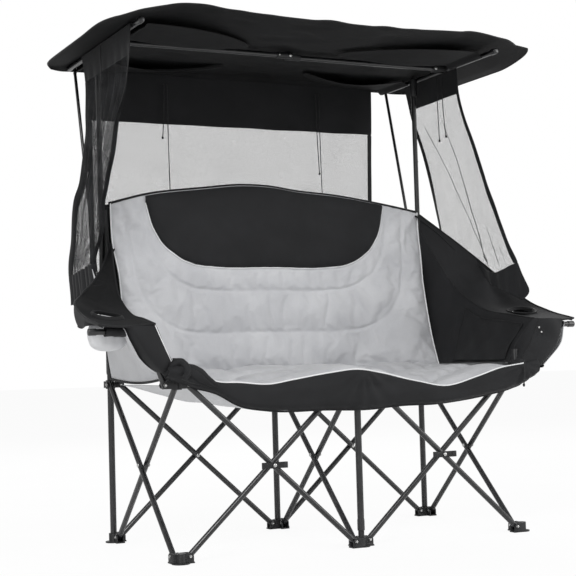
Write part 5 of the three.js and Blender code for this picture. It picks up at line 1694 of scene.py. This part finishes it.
def side_curtain_points(side, front, rear, net_low, hem, flare, folds, depth, lap, pleats):
    u, v = grid_of(170, 84)
    head = mix(SIDE_CURTAIN_TOP, HEADER_LOW, np.clip(v / HEADER_SHARE, 0, 1))
    net = mix(HEADER_LOW, course(net_low, u), (v - HEADER_SHARE) / (1 - HEADER_SHARE - HEM_SHARE))
    foot = mix(course(net_low, u), course(hem, u), (v - 1 + HEM_SHARE) / HEM_SHARE)
    z = np.where(v < HEADER_SHARE, head, np.where(v < 1 - HEM_SHARE, net, foot))
    turn = u * math.tau * folds + 1.1 * np.sin(v * 2.2 + u * 5)
    free = soft_step(0.02, 0.4, v) * (1 - 0.6 * soft_step(0.8, 1, v))
    y = mix(course(front, z), course(rear, z), u) + lap * np.sin(turn) * free
    out = course(flare, u) * v**0.8
    x = SIDE_CURTAIN_PLANE + out + depth * (1 + np.cos(turn)) * free
    x = x + 0.0025 * waves(y, z * 0.25, 0, 0.06, 131) * v
    for start, end, width, high in pleats:
        shown = soft_step(high, high + 0.15, v) * (1 - soft_step(0.84, 0.9, v))
        fold = pleat(u, v, start, end, width) * shown
        y = y - PLEAT_LAP * width * fold
        x = x + 0.0045 * fold
    return stack(side * x, y, z)


CURTAIN_SHAPES = {
    "left": (LEFT_FRONT, LEFT_REAR, LEFT_NET_LOW, LEFT_HEM, LEFT_FLARE, 7, 0.009, 0.014, ()),
    "right": (RIGHT_FRONT, RIGHT_REAR, RIGHT_NET_LOW, RIGHT_HEM, RIGHT_FLARE, 2.5, 0.004, 0.0, RIGHT_PLEATS),
}


def make_side_curtain(label, side):
    body = "canopy_rail_" + label
    points = side_curtain_points(side, *CURTAIN_SHAPES[label])
    made = curtain("side_curtain_" + label, points, HEADER_SHARE, HEM_SHARE, 7, body, [body])
    squash(made, rail_pivot(side))


# Cords: name, exit, length, sway, body and radius of each
TIES = (
    ("rear_tie_one", (-0.257, 0.772, 1.46), 0.44, 0.006, "canopy_brace_left", 0.0015),
    ("rear_tie_two", (-0.268, 0.771, 1.46), 0.18, -0.012, "canopy_brace_left", 0.0015),
    ("rear_tie_three", (0.297, 0.772, 1.46), 0.28, 0.01, "canopy_brace_left", 0.0015),
    ("rear_tie_four", (0.309, 0.771, 1.46), 0.36, 0.004, "canopy_brace_left", 0.0015),
    ("side_tie_one", (0.598, 0.46, 1.47), 0.21, 0.006, "canopy_rail_right", 0.0015),
    ("side_tie_two", (0.598, 0.43, 1.47), 0.2, 0.016, "canopy_rail_right", 0.0015),
    ("side_tie_three", (-0.62, 0.367, 1.472), 0.115, 0.002, "canopy_rail_left", 0.0015),
    ("toggle_cord", (0.548, -0.05, 0.515), 0.075, -0.006, "front_right_hub", 0.002),
)
FIRST_CORD_SEED = 141


def hanging_cord(name, exit_place, length, sway, body, radius, seed):
    """Thin cord that hangs from its exit in a slight curve, with a small end knot"""
    x, y, z = exit_place
    path = [at(x + sway * t**2 * 0.7, y, z - length * t) for t in np.linspace(0, 1, 24)]
    cord = dress(cord_mesh(name, path, radius, CORD, 6), body)
    centre = path[-1] - at(0, 0, 0)
    knot = dress(crumpled(name + "_knot", centre, (0.0035, 0.0035, 0.005), seed), body)
    return [cord, knot]


def make_cords():
    for seed, tie in enumerate(TIES, FIRST_CORD_SEED):
        pieces = hanging_cord(*tie, seed)
        if tie[0].startswith("rear"):
            close_with_frame(pieces)


# Floor and light
FLOOR_HALF = 30
WORLD_LIGHT = 0.55
LAMP_AIM = Vector((0, 0, 0.7))
LAMPS = (
    ("key", (-3.2, -4.2, 4.2), (2.6, 2.6), 190),
    ("fill", (4.2, -3.4, 2.6), (3.0, 3.0), 90),
    ("rim", (1.5, 4.0, 3.6), (3.0, 2.0), 90),
)


def make_stage():
    corners = [(x * FLOOR_HALF, y * FLOOR_HALF, 0) for x, y in ((-1, -1), (1, -1), (1, 1), (-1, 1))]
    make_object("floor", corners, [(0, 1, 2, 3)], floor_finish())
    world = bpy.data.worlds.new("studio")
    bpy.context.scene.world = world
    world.use_nodes = True
    tree = world.node_tree
    tree.nodes.clear()
    light, white = (white_light(tree, "ShaderNodeBackground") for _ in range(2))
    light.inputs["Strength"].default_value = WORLD_LIGHT
    ray = tree.nodes.new("ShaderNodeLightPath")
    seen = Sock(tree, ray.outputs["Is Camera Ray"]).upper(Sock(tree, ray.outputs["Is Transmission Ray"]))
    pick_shader(tree, seen, light, white, tree.nodes.new("ShaderNodeOutputWorld"))
    for name, place, size, power in LAMPS:
        data = bpy.data.lights.new(name, "AREA")
        data.shape = "RECTANGLE"
        data.size, data.size_y = size
        data.energy = power
        lamp = link(bpy.data.objects.new(name, data))
        lamp.location = place
        lamp.rotation_mode = "QUATERNION"
        lamp.rotation_quaternion = (LAMP_AIM - Vector(place)).to_track_quat("-Z", "Y")
    bpy.context.scene.view_settings.view_transform = "Standard"


make_camera()
make_cords()
make_stage()
make_frame_pieces()
make_rivets()
squash(make_backrest() + make_seat(), at(0, 0.25, 0.5))
for label, side in SIDES.items():
    make_wing(label, side)
    make_pouch(label)
make_roof()
make_rear_curtain()
for label, side in SIDES.items():
    make_side_curtain(label, side)
